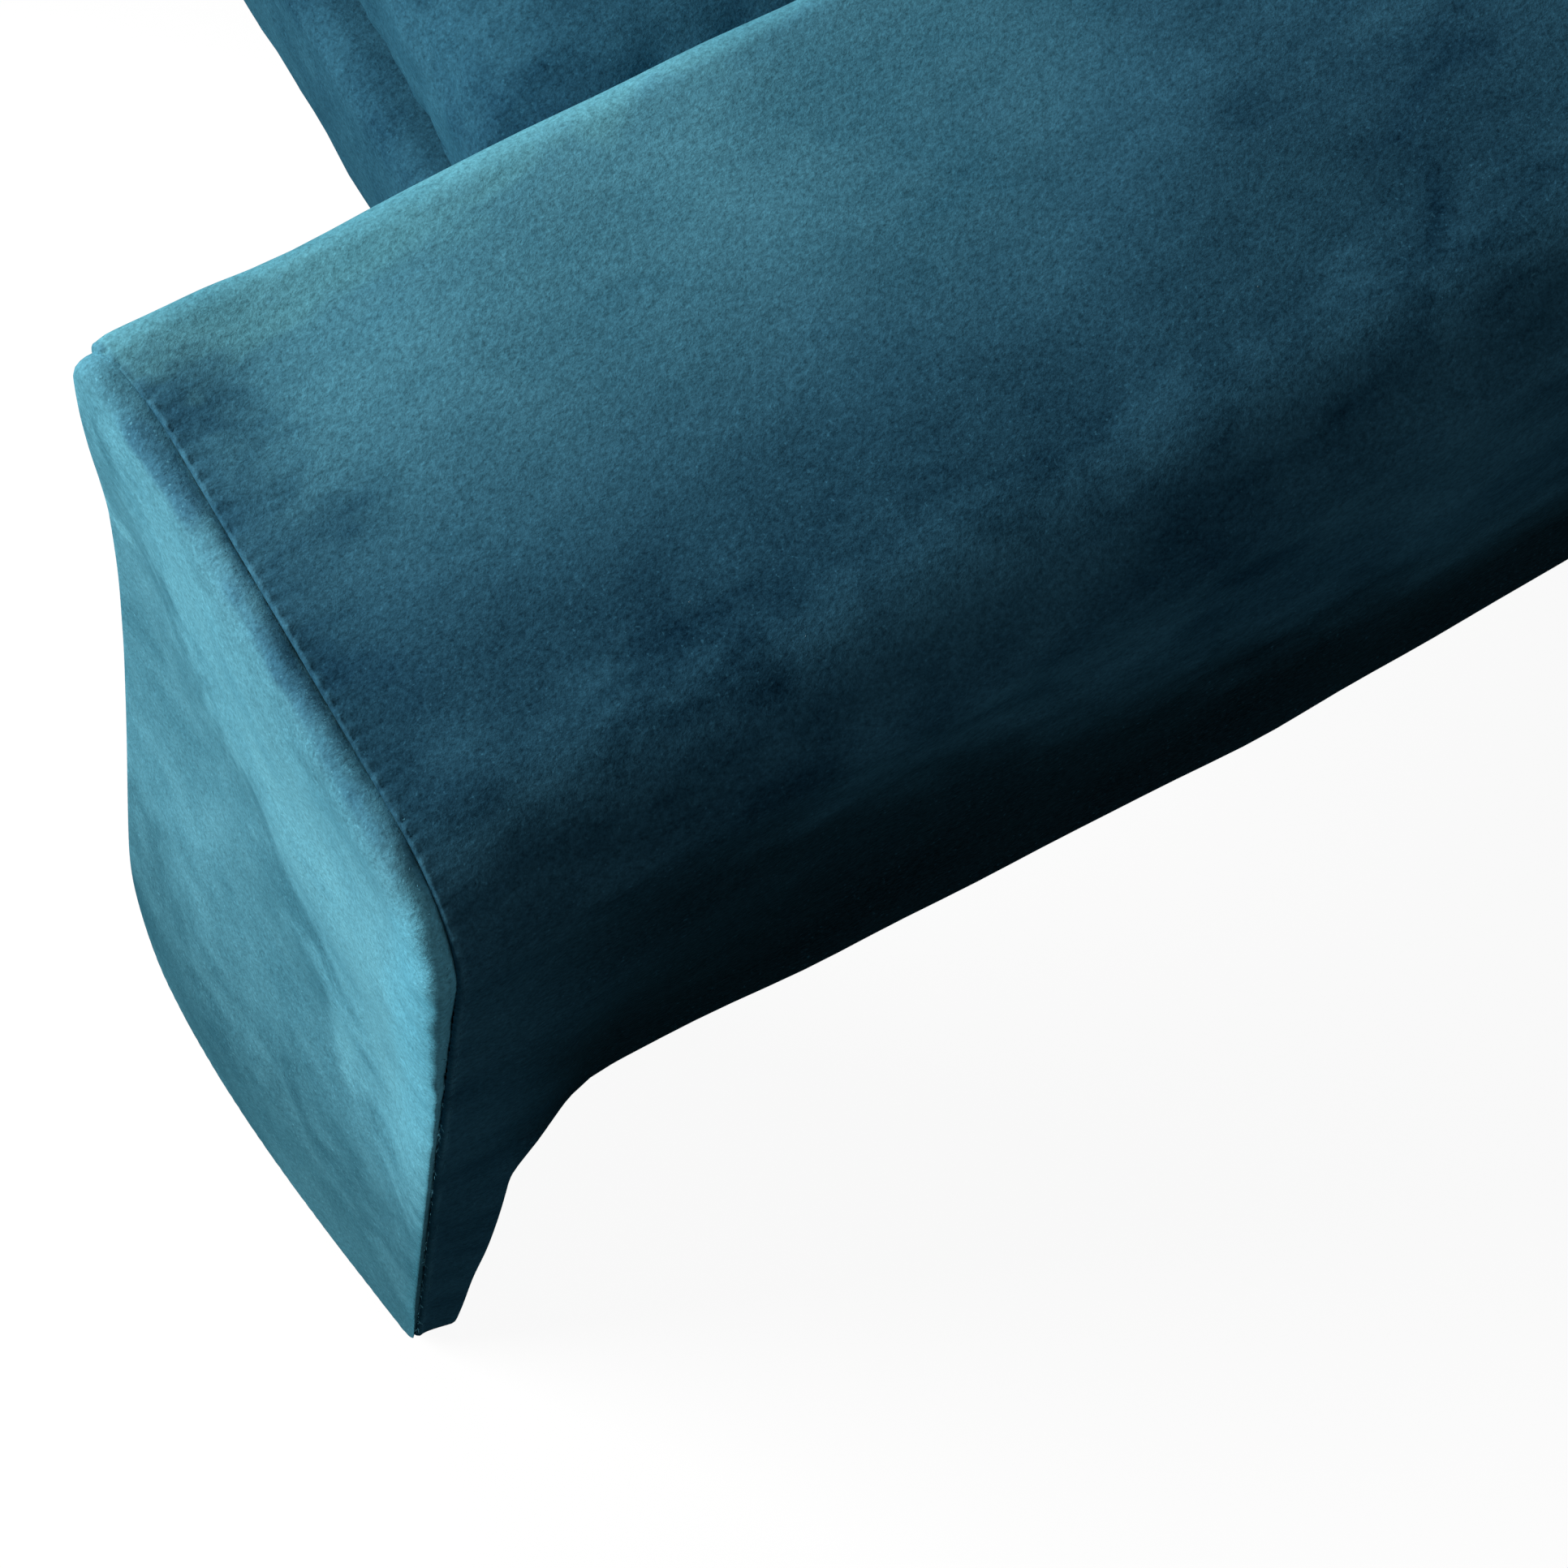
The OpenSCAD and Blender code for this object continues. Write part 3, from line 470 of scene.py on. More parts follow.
# The end panels' velvet is the same cloth painted lighter, standing in for the light that falls on them
VELVET_PANEL_PAINTED_LIGHTER = velvet("velvet_end_panel", (0.062, 0.220, 0.300), (0.145, 0.420, 0.540), 0.42, 3.1,
                      end_panel_painted_light_and_shade, strokes=0.12, edge=((0.018, 0.085, 0.160), (0.055, 0.185, 0.300)))
VELVET_SEAT = velvet("velvet_seat", (0.011, 0.050, 0.090), (0.040, 0.145, 0.215), 0.22, 5.7)
PILE = velvet("velvet_pile_ends", (0.050, 0.190, 0.270), (0.120, 0.340, 0.440), 0.40, 9.0)
LINT = woven("lint", (0.40, 0.50, 0.52), (0.70, 0.76, 0.76), 3000, 0.9)
BLACK_CLOTH = woven("black_lining", (0.012, 0.012, 0.014), (0.035, 0.035, 0.040), 1500, 0.9)
WEBBING = woven("elastic_webbing", (0.020, 0.018, 0.016), (0.075, 0.066, 0.055), 700, 0.8)
PLYWOOD = wood("birch_plywood", (0.50, 0.34, 0.19), (0.74, 0.57, 0.36), True)
BEECH = wood("planed_beech", (0.42, 0.24, 0.12), (0.66, 0.43, 0.24), False)
SPRING_STEEL = metal("drawn_spring_wire", (0.20, 0.20, 0.21), (0.38, 0.38, 0.39), 0.38)
ZINC_STEEL = metal("zinc_plated_steel", (0.48, 0.49, 0.50), (0.68, 0.69, 0.70), 0.30)
NYLON = moulded("black_nylon", (0.022, 0.022, 0.024), (0.045, 0.045, 0.048))


# Arm: its outline from the front and its faces from the side
def face_y(z):
    """Front face of the arm at a height."""
    return -HALF - LEAN * (ARM_H - z)


def leg_back(z):
    """Rear face of the front leg at a height."""
    return -HALF + LEG_BACK_TIP + BACK_LEAN * (z - LEG_Z)


STRETCH = math.sqrt(1 + BACK_LEAN ** 2)
BEND_Z = ARCH_H - ARCH_R
BEND_Y = leg_back(BEND_Z) + ARCH_R * STRETCH
BEND_FOOT = BEND_Z + ARCH_R * BACK_LEAN / STRETCH


def arch_y(z):
    """Rear edge of the front leg, up to where the bend runs level."""
    bend = BEND_Y - np.sqrt(np.maximum(ARCH_R ** 2 - (z - BEND_Z) ** 2, 0))
    return np.where(z < BEND_FOOT, leg_back(z), bend)


def arch_curve(straight, bend, level):
    """Points up the rear edge of a front leg, round the bend and along the lower edge to the middle."""
    up = [(leg_back(z), z) for z in np.linspace(LEG_Z, BEND_FOOT, straight)[:-1]]
    turn = np.linspace(math.atan(BACK_LEAN), math.pi / 2, bend)
    up += [(BEND_Y - ARCH_R * math.cos(t), BEND_Z + ARCH_R * math.sin(t)) for t in turn]
    return np.array(up + [(y, ARCH_H) for y in np.linspace(BEND_Y, 0, level)[1:]])


def sideways(u, z):
    """Draws the arm's plain width in where the legs taper."""
    drop = TAPER_Z - z
    share = np.clip((drop + np.sqrt(drop * drop + TAPER_EASE ** 2)) / 2 / (TAPER_Z - LEG_Z), 0, 1.1)
    left, right = TAPER_IN * share, ARM_W - TAPER_OUT * share
    return left + u * (right - left) / ARM_W


def toe(z, r):
    """How far a leg's rounded toe draws its side in at a height."""
    h = np.clip(LEG_Z + r - z, 0, r)
    return r - np.sqrt(r * r - h * h)


def spaced(a, b, step):
    return np.linspace(a, b, max(2, int(round(abs(b - a) / step)) + 1))


def side_levels(z0, z1, step):
    """Heights up a side, with one at each level that the arch needs."""
    bend = [BEND_Z + ARCH_R * math.sin(math.radians(a)) for a in range(12, 90, 6)] + [ARCH_H]
    rim = [ARCH_H + rise for rise in (0.0008, 0.002, 0.0036)]
    return [*spaced(z0, bend[0], step)[:-1], *bend, *rim, *spaced(ARCH_H + 0.006, z1, step)]


def corner(cx, cz, r, start, step):
    """A quarter circle from an angle in degrees: places and outward directions."""
    n = max(3, int(round(r * math.pi / 2 / step)))
    turn = [math.radians(start + 90 * i / n) for i in range(n + 1)]
    return [(cx + r * math.cos(t), cz + r * math.sin(t), math.cos(t), math.sin(t)) for t in turn]


def arm_loop(step):
    """The arm from the front, anticlockwise from the seat side: u, z, normal and length so far."""
    pts = corner(TIP_IN_R, LEG_Z + TIP_IN_R, TIP_IN_R, 180, step)
    pts += [(u, LEG_Z, 0, -1) for u in spaced(TIP_IN_R, ARM_W - TIP_OUT_R, 2 * step)[1:-1]]
    pts += corner(ARM_W - TIP_OUT_R, LEG_Z + TIP_OUT_R, TIP_OUT_R, 270, step)
    pts += [(ARM_W, z, 1, 0) for z in side_levels(LEG_Z + TIP_OUT_R, ARM_H - OUTER_R, step)[1:-1]]
    pts += corner(ARM_W - OUTER_R, ARM_H - OUTER_R, OUTER_R, 0, step)
    pts += [(u, ARM_H, 0, 1) for u in spaced(ARM_W - OUTER_R, INNER_R, step)[1:-1]]
    pts += corner(INNER_R, ARM_H - INNER_R, INNER_R, 90, step)
    pts += [(0, z, -1, 0) for z in side_levels(LEG_Z + TIP_IN_R, ARM_H - INNER_R, step)[-2:0:-1]]
    table = np.array(pts, float)
    length = np.cumsum([0, *np.linalg.norm(np.diff(table[:, :2], axis=0), axis=1)])
    return (*table.T, length)


LU, LZ, NX, NZ, LS = arm_loop(0.0015)
RING_LEN = len(LU)
# The seam shows its stitches less on the side by the seat and down the legs
seam_share = np.where(NX < -0.5, 0.2, 0.35 + 0.65 * smooth(0.20, 0.36, LZ))


# Arm: how the padding departs from its plain sides
def forward_swell(u, z):
    """The foot of a leg is fuller at the front by the seat side, and its toe curls back on the outer side."""
    t = np.clip(u / ARM_W, 0, 1)
    return FOOT_SWELL * (0.76 - 1.14 * t + 0.886 * np.sin(math.pi * t ** 0.75)) * smooth(0.26, 0.02, z)


def padding(u, z, d):
    """Moves of a cover point, a distance d behind its end of the arm: across, forward and up."""
    thick = leg_back(z) - face_y(z)
    forward = forward_swell(u, z) * smooth(1, 0, d / np.where(z < ARCH_H, thick, 0.06))
    outer = smooth(0.10, ARM_W, u)
    pinch = SIDE_PINCH * bell(d - 0.080, 0.090) * smooth(0.0, 0.030, d - thick)
    pinch = pinch * smooth(0.38, 0.27, z) * smooth(0.15, 0.22, z)
    belly = SIDE_BELLY * smooth(0.20, 0.42, d) * smooth(0.47, 0.36, z)
    flare = FOOT_FLARE * smooth(0.24, 0.10, z) * smooth(0.0, 0.035, d)
    edge = bell(u, 0.032) * smooth(0.43, ARM_H, z)
    puff = CORNER_PUFF * edge * bell(d, 0.080) * smooth(-0.030, 0.045, d)
    crown = TOP_CROWN * np.sin(math.pi * np.clip(u / ARM_W, 0, 1)) * smooth(0.44, ARM_H, z)
    across = outer * (belly + flare - pinch) - 0.86 * puff
    return across, forward, 0.5 * puff + crown * smooth(0.0, 0.12, d)


def rolled(d, depth, width):
    """How far a rolled edge is drawn in, at a distance from its seam."""
    t = np.clip(1 - d / width, 0, 1)
    return depth * (1 - np.sqrt(1 - t * t))


def stitches(s, seed):
    """Unequal stitches along a seam: 0 between them, 1 at a stitch hole."""
    line = np.stack([s, 0 * s, 0 * s], -1)
    s = s + 0.0011 * Waves(seed, 0.05, 6)(line)
    return (0.5 + 0.5 * np.cos(2 * math.pi * s / STITCH)) ** 3


def arch_distance(y, z):
    """Distance from the line of the arch, and only meant near it."""
    curve = arch_curve(30, 24, 8)
    p = np.stack([-np.abs(y), z], -1)
    out = np.full(len(p), 9.0)
    for a, b in zip(curve[:-1], curve[1:]):
        d = b - a
        t = np.clip(((p - a) @ d) / (d @ d), 0, 1)
        out = np.minimum(out, np.linalg.norm(p - a - t[:, None] * d, axis=1))
    return out


def cover_columns(z):
    """Places along the arm at one height, close together beside the seam and the arch, and none under it."""
    near = [0, 0.0003, 0.0007, 0.0011, 0.0016, 0.0021, 0.0028, 0.0040, 0.0058, 0.0085, 0.012]
    far = [0.007, 0.004, 0.0022, 0.0009, 0]
    front = face_y(z) + SEAM_IN
    under = z < ARCH_H - 1e-9
    back = arch_y(z) if under else BEND_Y
    between = [front + 0.012 + (back - front - 0.019) * t for t in (0.15, 0.32, 0.5, 0.68, 0.85)]
    cols = [front + d for d in near] + between + [back - d for d in far]
    steps = np.linspace(0, 1, ARCH_STEPS + 1)[1:-1]
    gap = [math.nan if under else back * (1 - 2 * t) for t in steps]
    return cols + gap + [-y for y in reversed(cols)]


def make_cover(name, flip, seed):
    """The long piece of an arm: over both sides and the top, and down the sides of its legs."""
    columns = np.array([cover_columns(z) for z in LZ])
    there = np.isfinite(columns)
    ids = np.where(there, np.cumsum(there).reshape(there.shape) - 1, -1)
    after = np.roll(ids, -1, axis=0)
    quads = np.stack([ids[:, :-1], after[:, :-1], after[:, 1:], ids[:, 1:]], -1).reshape(-1, 4)
    faces = quads[quads.min(axis=1) >= 0]
    i, y = np.nonzero(there)[0], columns[there]
    u, z, nx, nz = LU[i], LZ[i], NX[i], NZ[i]
    end = np.where(y < 0, -1.0, 1.0)
    d = -np.abs(y) - face_y(z) - SEAM_IN
    stitch = (stitches(LS, seed) * seam_share)[i]
    pos = np.stack([ARM_X + sideways(u, z), y, z], -1)
    ridge = 1 - 0.75 * stitch + 0.40 * WAVE_C(pos)
    top_corner = bell(np.hypot(u - 0.004, z - ARM_H + 0.006), 0.020)
    move = -rolled(d, EDGE_DEPTH + 0.0007 * stitch, EDGE_W)
    move -= top_corner * rolled(d, CORNER_DEPTH, CORNER_W)
    move += RIDGE * bell(d - RIDGE_AT, RIDGE_W) * ridge
    move -= HOLE * stitch ** 5 * bell(d - HOLE_AT, HOLE_W)
    move -= DIMPLE * stitch * bell(d - DIMPLE_AT, DIMPLE_W)
    near_arch = (z < ARCH_H + 0.05) & (z > LEG_Z + 0.0005)
    move -= np.where(near_arch, rolled(arch_distance(y, z), ARCH_DEPTH, ARCH_EDGE_W), 0)
    broad = 0.0011 * WAVE_A(pos) + 0.0004 * WAVE_B(pos)
    move += smooth(0.0, 0.03, d) * broad * smooth(LEG_Z, 0.1, z)
    across, forward, lift = padding(u, z, d)
    pos[:, 0] += nx * move + across
    pos[:, 1] += end * forward
    pos[:, 2] += nz * move + lift
    # The cover stands over the top corner of the end panel in a small fold
    fold = top_corner * bell(d, 0.014)
    pos[:, 1] += end * FOLD_LIP * fold
    pos[:, 0] -= 0.45 * FOLD_LIP * fold
    piece = add_mesh(name, pos, faces, VELVET, flip)
    # The painted highlight along the ridge beside the seam, broken at the stitches
    shown = (1 - 0.8 * stitch) * np.clip(0.60 + 0.40 * WAVE_C(pos), 0, 1)
    mark(piece, bell(d - 0.0016, 0.0015) * shown)
    return piece


def panel_height(u, z):
    """Share of its full roll that an end panel has: more at the top, most in the corner by the seat."""
    foot = smooth(LEG_Z - 0.01, 0.08, z)
    by_seat = bell(u, 0.045) * smooth(0.36, 0.46, z)
    return foot * (0.34 + 0.66 * smooth(0.29, 0.45, z) + PANEL_CORNER * by_seat)


def make_end_panel(name, flip, rear, seed):
    """An end panel: rings from the seam over the padded roll to the panel's spine."""
    low, high = [LEG_Z + (ARM_H - LEG_Z) * share for share in (0.27, 0.76)]
    stitch = stitches(LS, seed + 40) * seam_share
    du, dz = ARM_W / 2 - LU, np.clip(LZ, low, high) - LZ
    far = np.hypot(du, dz)

    def placed(u, z, inset, out):
        crest = max(out - PLATEAU, 0) * smooth(0.01, 0.12, u)
        amount = (min(out, PLATEAU) + crest) * panel_height(u, z) if out > 0 else out + 0 * z
        pos = np.stack([ARM_X + sideways(u, z), face_y(z) - amount, z], -1)
        across, forward, lift = padding(u, z, 0 * z)
        calm = smooth(0.004, 0.04, inset) * smooth(LEG_Z - 0.01, 0.10, z)
        ripple = calm * (0.0016 * WAVE_A(pos + seed) + 0.0007 * WAVE_B(pos + seed))
        by_seam = 0.0004 * bell(inset - 0.004, 0.012) * smooth(0.0, 0.03, u) * smooth(0.2, 0.36, z)
        ripple = ripple + by_seam * WAVE_C(pos + seed)
        pos[:, 0] += across
        pos[:, 1] -= forward + ripple
        pos[:, 2] += lift
        return pos

    # Painted shade along the panel's edge beside the seam, on its upper part and away from both sides
    shown = smooth(0.20, 0.34, LZ) * smooth(0.0, 0.05, LU) * smooth(0.235, 0.195, LU)
    rings, edge = [], []
    for k, (inset, out) in enumerate(PANEL_PROFILE):
        share = np.minimum(inset / far if inset < 0.1 else inset / 0.113, 0.985)
        ring = placed(LU + du * share, LZ + dz * share, inset, out)
        ring[:, 1] += 0.0005 * stitch * bell(k - 6, 2.8)
        rings.append(ring)
        edge.append(smooth(0.0050, 0.0005, inset) * (0.75 + 0.25 * WAVE_C(ring + seed)) * shown)
    spine_z = np.linspace(low, high, 40)
    inset, out = PANEL_PROFILE[-1]
    spine = placed(np.full(40, ARM_W / 2), spine_z, inset, out)
    verts = np.concatenate(rings + [spine])
    faces = ring_faces(RING_LEN, len(rings))
    last, start = (len(rings) - 1) * RING_LEN, len(rings) * RING_LEN
    near = start + np.abs(spine_z[None, :] - (LZ + dz)[:, None]).argmin(axis=1)
    for i in range(RING_LEN):
        j = (i + 1) % RING_LEN
        corners = (last + i, last + j, near[j], near[i])
        faces.append(corners if near[i] != near[j] else corners[:3])
    if rear:
        verts = verts * [1, -1, 1]
        faces = turned(faces)
    piece = add_mesh(name, verts, faces, VELVET_PANEL_PAINTED_LIGHTER, flip)
    mark(piece, np.concatenate([*edge, np.zeros(len(spine))]))
    return piece


def make_arch_facing(name, flip):
    """The strip that closes an arm below: up one leg, along under the arm and down the other."""
    half = arch_curve(40, 27, 36)
    line = np.concatenate([half, (half * [-1, 1])[::-1][1:]])
    tangent = unit(np.gradient(line, axis=0))
    inward = np.stack([-tangent[:, 1], tangent[:, 0]], -1)
    shares = np.array([0, 0.01, 0.025, 0.045, 0.07, *np.linspace(0.1, 0.9, 9), 0.93, 0.955, 0.975, 0.99, 1])
    y, z = line[:, :1], line[:, 1:]
    left = toe(z, TIP_IN_R) + FACING_IN
    right = ARM_W - toe(z, TIP_OUT_R) - FACING_IN
    u = left + (right - left) * shares
    across = padding(u, z, -np.abs(y) - face_y(z) - SEAM_IN)[0]
    draw = rolled(np.minimum(shares, 1 - shares) * (right - left), FACING_DEPTH, FACING_W)
    x = ARM_X + sideways(u, z) + across
    verts = np.stack([x, y + inward[:, :1] * draw, z + inward[:, 1:] * draw], -1)
    return add_mesh(name, verts.reshape(-1, 3), grid_faces(len(line), len(shares)), VELVET, flip)


for side in SIDES:
    flip = side == "left"
    seed = 5 * flip
    cover = make_cover("velvet_arm_cover_" + side, flip, 21 + seed)
    front = make_end_panel("velvet_front_panel_" + side, flip, False, 3 + seed)
    rear = make_end_panel("velvet_rear_panel_" + side, flip, True, 6 + seed)
    facing = make_arch_facing("velvet_arch_facing_" + side, flip)
    foams = ["arm_" + place + "_foam_" + side for place in ("top", "outer", "inner")]
    finish_piece(cover, "velvet", "arm_cover_" + side, *foams, fill=0.9)
    finish_piece(front, "velvet_panel", "arm_front_panel_" + side, "arm_end_foams_" + side, fill=0.9)
    finish_piece(rear, "velvet_panel", "arm_rear_panel_" + side, fill=0.9)
    finish_piece(facing, "velvet", "arm_arch_facing_" + side)


# Camera, at the photograph's viewing angle
PHOTO_PX = 1932
FOCAL_PX = 5000
SENSOR_MM = 36.0
CAM_TURN, CAM_DOWN = math.radians(59.6), math.radians(69.74)
CAM_PLACE = Vector((0.910, -0.515, 1.719))
CAM_RIGHT = Vector((math.cos(CAM_TURN), math.sin(CAM_TURN), 0))
CAM_AHEAD = Vector((-math.sin(CAM_TURN), math.cos(CAM_TURN), 0))
CAM_LOOK = CAM_AHEAD * math.cos(CAM_DOWN) - Vector((0, 0, math.sin(CAM_DOWN)))
CAM_UP = CAM_RIGHT.cross(CAM_LOOK)


def add_camera():
    data = bpy.data.cameras.new("camera")
    data.sensor_fit = "HORIZONTAL"
    data.sensor_width = SENSOR_MM
    data.lens = FOCAL_PX / PHOTO_PX * SENSOR_MM
    data.clip_start = 0.01
    camera = add_object("camera", data)
    place = Matrix((CAM_RIGHT, CAM_UP, -CAM_LOOK)).transposed().to_4x4()
    place.translation = CAM_PLACE
    camera.matrix_world = place
    scene.camera = camera


def photo_ray(x, y):
    """The direction in which the camera sees a pixel of the photograph."""
    right, down = (x - PHOTO_PX / 2) / FOCAL_PX, (y - PHOTO_PX / 2) / FOCAL_PX
    return (CAM_LOOK + CAM_RIGHT * right - CAM_UP * down).normalized()


# Pile ends and lint
FIBRE_W, FIBRE_LENGTHS = 0.00026, (0.0010, 0.0025)
LINT_W, LINT_LENGTHS = 0.0003, (0.0012, 0.0024)
LINT_PIXELS = [(588, 1300), (567, 1370), (848, 740), (992, 785), (1227, 740), (1550, 352), (640, 1195)]


def fibre(start, way, length, width, rng):
    """A bent fibre of two faces, tapered to its tip."""
    way = unit(way)
    side = unit(np.cross(way, rng.normal(size=3))) * width / 2
    bend = rng.normal(size=3) * length * 0.12
    middle = start + way * length * 0.6 + bend
    tip = start + way * length + 2 * bend
    return [start - side, start + side, middle + side * 0.6, middle - side * 0.6, tip]


def add_fibres(name, fibres, material):
    starts = range(0, 5 * len(fibres), 5)
    faces = [face for k in starts for face in ((k, k + 1, k + 2, k + 3), (k + 3, k + 2, k + 4))]
    return add_mesh(name, np.concatenate(fibres), faces, material)


def seam_fuzz(count):
    """Pile ends that stand up along the sewn edges at both ends of both arms."""
    rng = np.random.default_rng(7)
    along = np.where(LZ > 0.02)[0]
    fibres = []
    for ends in ((1, 1), (1, -1), (-1, 1), (-1, -1)):
        mirror = np.array([*ends, 1])
        for i in rng.choice(along, count):
            u, z = LU[i], LZ[i]
            outward = np.array([NX[i], 0, NZ[i]])
            across, forward, lift = padding(u, z, 0.0)
            seam = np.array([ARM_X + sideways(u, z) + across, face_y(z) + SEAM_IN - forward, z + lift])
            if rng.random() < 0.5:
                start = seam + [0, 0.0028, 0] - outward * 0.0004
                way = outward + [0, -0.6, 0] + rng.normal(size=3) * 0.45
            else:
                start = seam - [0, 0.0030 * panel_height(u, z) + 0.0004, 0]
                way = outward * 0.7 + [0, -0.5, 0.2] + rng.normal(size=3) * 0.45
            worn = 1.0 if NX[i] > 0.5 and z < 0.38 else 0.5
            length = worn * rng.uniform(*FIBRE_LENGTHS)
            fibres.append(fibre(start * mirror, way * mirror, length, FIBRE_W, rng))
    return add_fibres("pile_ends_at_seams", fibres, PILE)


def lint_specks(carrier, pixels):
    """Small curls of pale lint on the arm, where the photograph shows them."""
    rng = np.random.default_rng(17)
    corners = [tuple(v.co) for v in carrier.data.vertices]
    velvet_tree = BVHTree.FromPolygons(corners, [tuple(f.vertices) for f in carrier.data.polygons])
    fibres = []
    for x, y in pixels:
        hit, normal = velvet_tree.ray_cast(CAM_PLACE, photo_ray(x, y))[:2]
        for _ in range(5):
            way = np.cross(normal, rng.normal(size=3)) + 0.15 * np.array(normal)
            start = np.array(hit) + 0.0003 * np.array(normal) + rng.normal(size=3) * 0.0003
            fibres.append(fibre(start, way, rng.uniform(*LINT_LENGTHS), LINT_W, rng))
    return add_fibres("lint_on_velvet", fibres, LINT)


add_camera()
finish_piece(seam_fuzz(1100), "velvet_panel")
finish_piece(lint_specks(bpy.data.objects["velvet_arm_cover_right"], LINT_PIXELS), "velvet_panel")


# Soft forms
def rounded_outline(x0, x1, y0, y1, radii, step):
    """Anticlockwise outline of a rectangle, with its corner radii from the lower right one on."""
    corners = []
    for x, y, r, start in zip((x1, x1, x0, x0), (y0, y1, y1, y0), radii, (-90, 0, 90, 180)):
        cx, cy = x - math.copysign(r, x - (x0 + x1) / 2), y - math.copysign(r, y - (y0 + y1) / 2)
        turn = np.radians(np.linspace(start, start + 90, max(2, int(r * math.pi / 2 / step)) + 1))
        corners += list(zip(cx + r * np.cos(turn), cy + r * np.sin(turn)))
    outline = []
    for a, b in zip(corners, corners[1:] + corners[:1]):
        count = max(1, int(math.dist(a, b) / step))
        outline += [np.add(a, np.subtract(b, a) * k / count) for k in range(count)]
    return np.array(outline)


def layer(outline, height):
    return np.column_stack([outline, np.full(len(outline), height)])


# Rings of a pillow: share drawn in, and share of its edge or of its crown
PILLOW_EDGE = [(0.10, 0.0), (0.012, 0.0), (0.003, 0.03), (0.0, 0.1), (0.0, 0.3), (0.0, 0.5), (0.0, 0.8),
               (0.008, 0.94), (0.03, 1.0)]
PILLOW_TOP = [(0.10, 0.36), (0.22, 0.66), (0.40, 0.88), (0.62, 0.98), (0.82, 1.0)]
GROOVE, GROOVE_W = 0.0034, 0.0042
# How a cushion is blown up as cloth
CUSHION_VOXEL = 0.0065
CLOTH_FRAMES = 20
CLOTH = {"quality": 5, "mass": 0.3, "tension_stiffness": 12, "compression_stiffness": 12,
         "shear_stiffness": 6, "bending_stiffness": 0.6, "use_pressure": True, "uniform_pressure_force": 4}


def pillow_mesh(width, depth, edge, crown, draw, r):
    """A crowned boxed cushion from z = 0 up, whose sides pull in between its corners."""
    plan = rounded_outline(-width / 2, width / 2, -depth / 2, depth / 2, (r,) * 4, 0.02)
    slack = 1 - (2 * plan / [width, depth]) ** 2
    plan = plan * (1 - 2 * draw * slack[:, ::-1] / [width, depth])
    layers = [layer(plan * (1 - inset), edge * share) for inset, share in PILLOW_EDGE]
    layers += [layer(plan * (1 - inset), edge + crown * share) for inset, share in PILLOW_TOP]
    count, last = len(plan), (len(layers) - 1) * len(plan)
    low, high = last + count, last + count + 1
    faces = ring_faces(count, len(layers))
    for i in range(count):
        j = (i + 1) % count
        faces += [(j, i, low), (last + i, last + j, high)]
    return np.concatenate([*layers, [[0, 0, 0], [0, 0, edge + crown]]]), faces


def apply_modifiers(piece):
    material = piece.data.materials[0]
    shape = bpy.data.meshes.new_from_object(piece.evaluated_get(bpy.context.evaluated_depsgraph_get()))
    piece.modifiers.clear()
    piece.data = shape
    shape.materials.clear()
    shape.materials.append(material)
    shape.shade_smooth()


def swell(piece, cap, lowest, highest, free=None):
    """Remeshes a pillow, blows it up as cloth within a cap and its room, and subdivides it."""
    remesh = piece.modifiers.new("remesh", "REMESH")
    remesh.mode = "VOXEL"
    remesh.voxel_size = CUSHION_VOXEL
    apply_modifiers(piece)
    rest = per_vertex(piece, "co")
    cloth = piece.modifiers.new("cloth", "CLOTH")
    cloth.collision_settings.use_collision = False
    cloth.settings.effector_weights.gravity = 0
    for name, value in CLOTH.items():
        setattr(cloth.settings, name, value)
    for step in range(1, CLOTH_FRAMES + 1):
        scene.frame_set(step)
    blown = piece.evaluated_get(bpy.context.evaluated_depsgraph_get())
    move = per_vertex(blown, "co") - rest
    piece.modifiers.clear()
    scene.frame_set(1)
    length = np.linalg.norm(move, axis=1)
    move *= np.minimum(1, cap / np.maximum(length, 1e-9))[:, None]
    if free is not None:
        move *= free(rest)[:, None]
    move_to(piece, np.clip(rest + move, lowest, highest))
    finer = piece.modifiers.new("finer", "SUBSURF")
    finer.levels = finer.render_levels = 1
    apply_modifiers(piece)


def boxed_seams(piece, levels, seed):
    """Plain seams round a boxed cushion at some levels, with puckers beside them."""
    p, n = per_vertex(piece, "co"), per_vertex(piece, "normal")
    wander, pucker = Waves(seed, 0.09), Waves(seed + 1, 0.018)
    side = np.exp(-(n[:, 2] / 0.78) ** 4)
    for level in levels:
        d = np.abs(p[:, 2] - level - 0.0013 * wander(p))
        groove = GROOVE * bell(d, GROOVE_W) * side
        puff = 0.0007 * bell(d, 0.018) * pucker(p * [1, 1, 0.25])
        p += n * (puff - groove)[:, None]
    move_to(piece, p)


def relax(piece, facing, amount, seed):
    """Uneven fullness on the side of a cushion that faces one way along z."""
    p, n = per_vertex(piece, "co"), per_vertex(piece, "normal")
    full = amount * Waves(seed, 0.20)(p) * smooth(0.3, 0.9, facing * n[:, 2])
    move_to(piece, p + n * full[:, None])


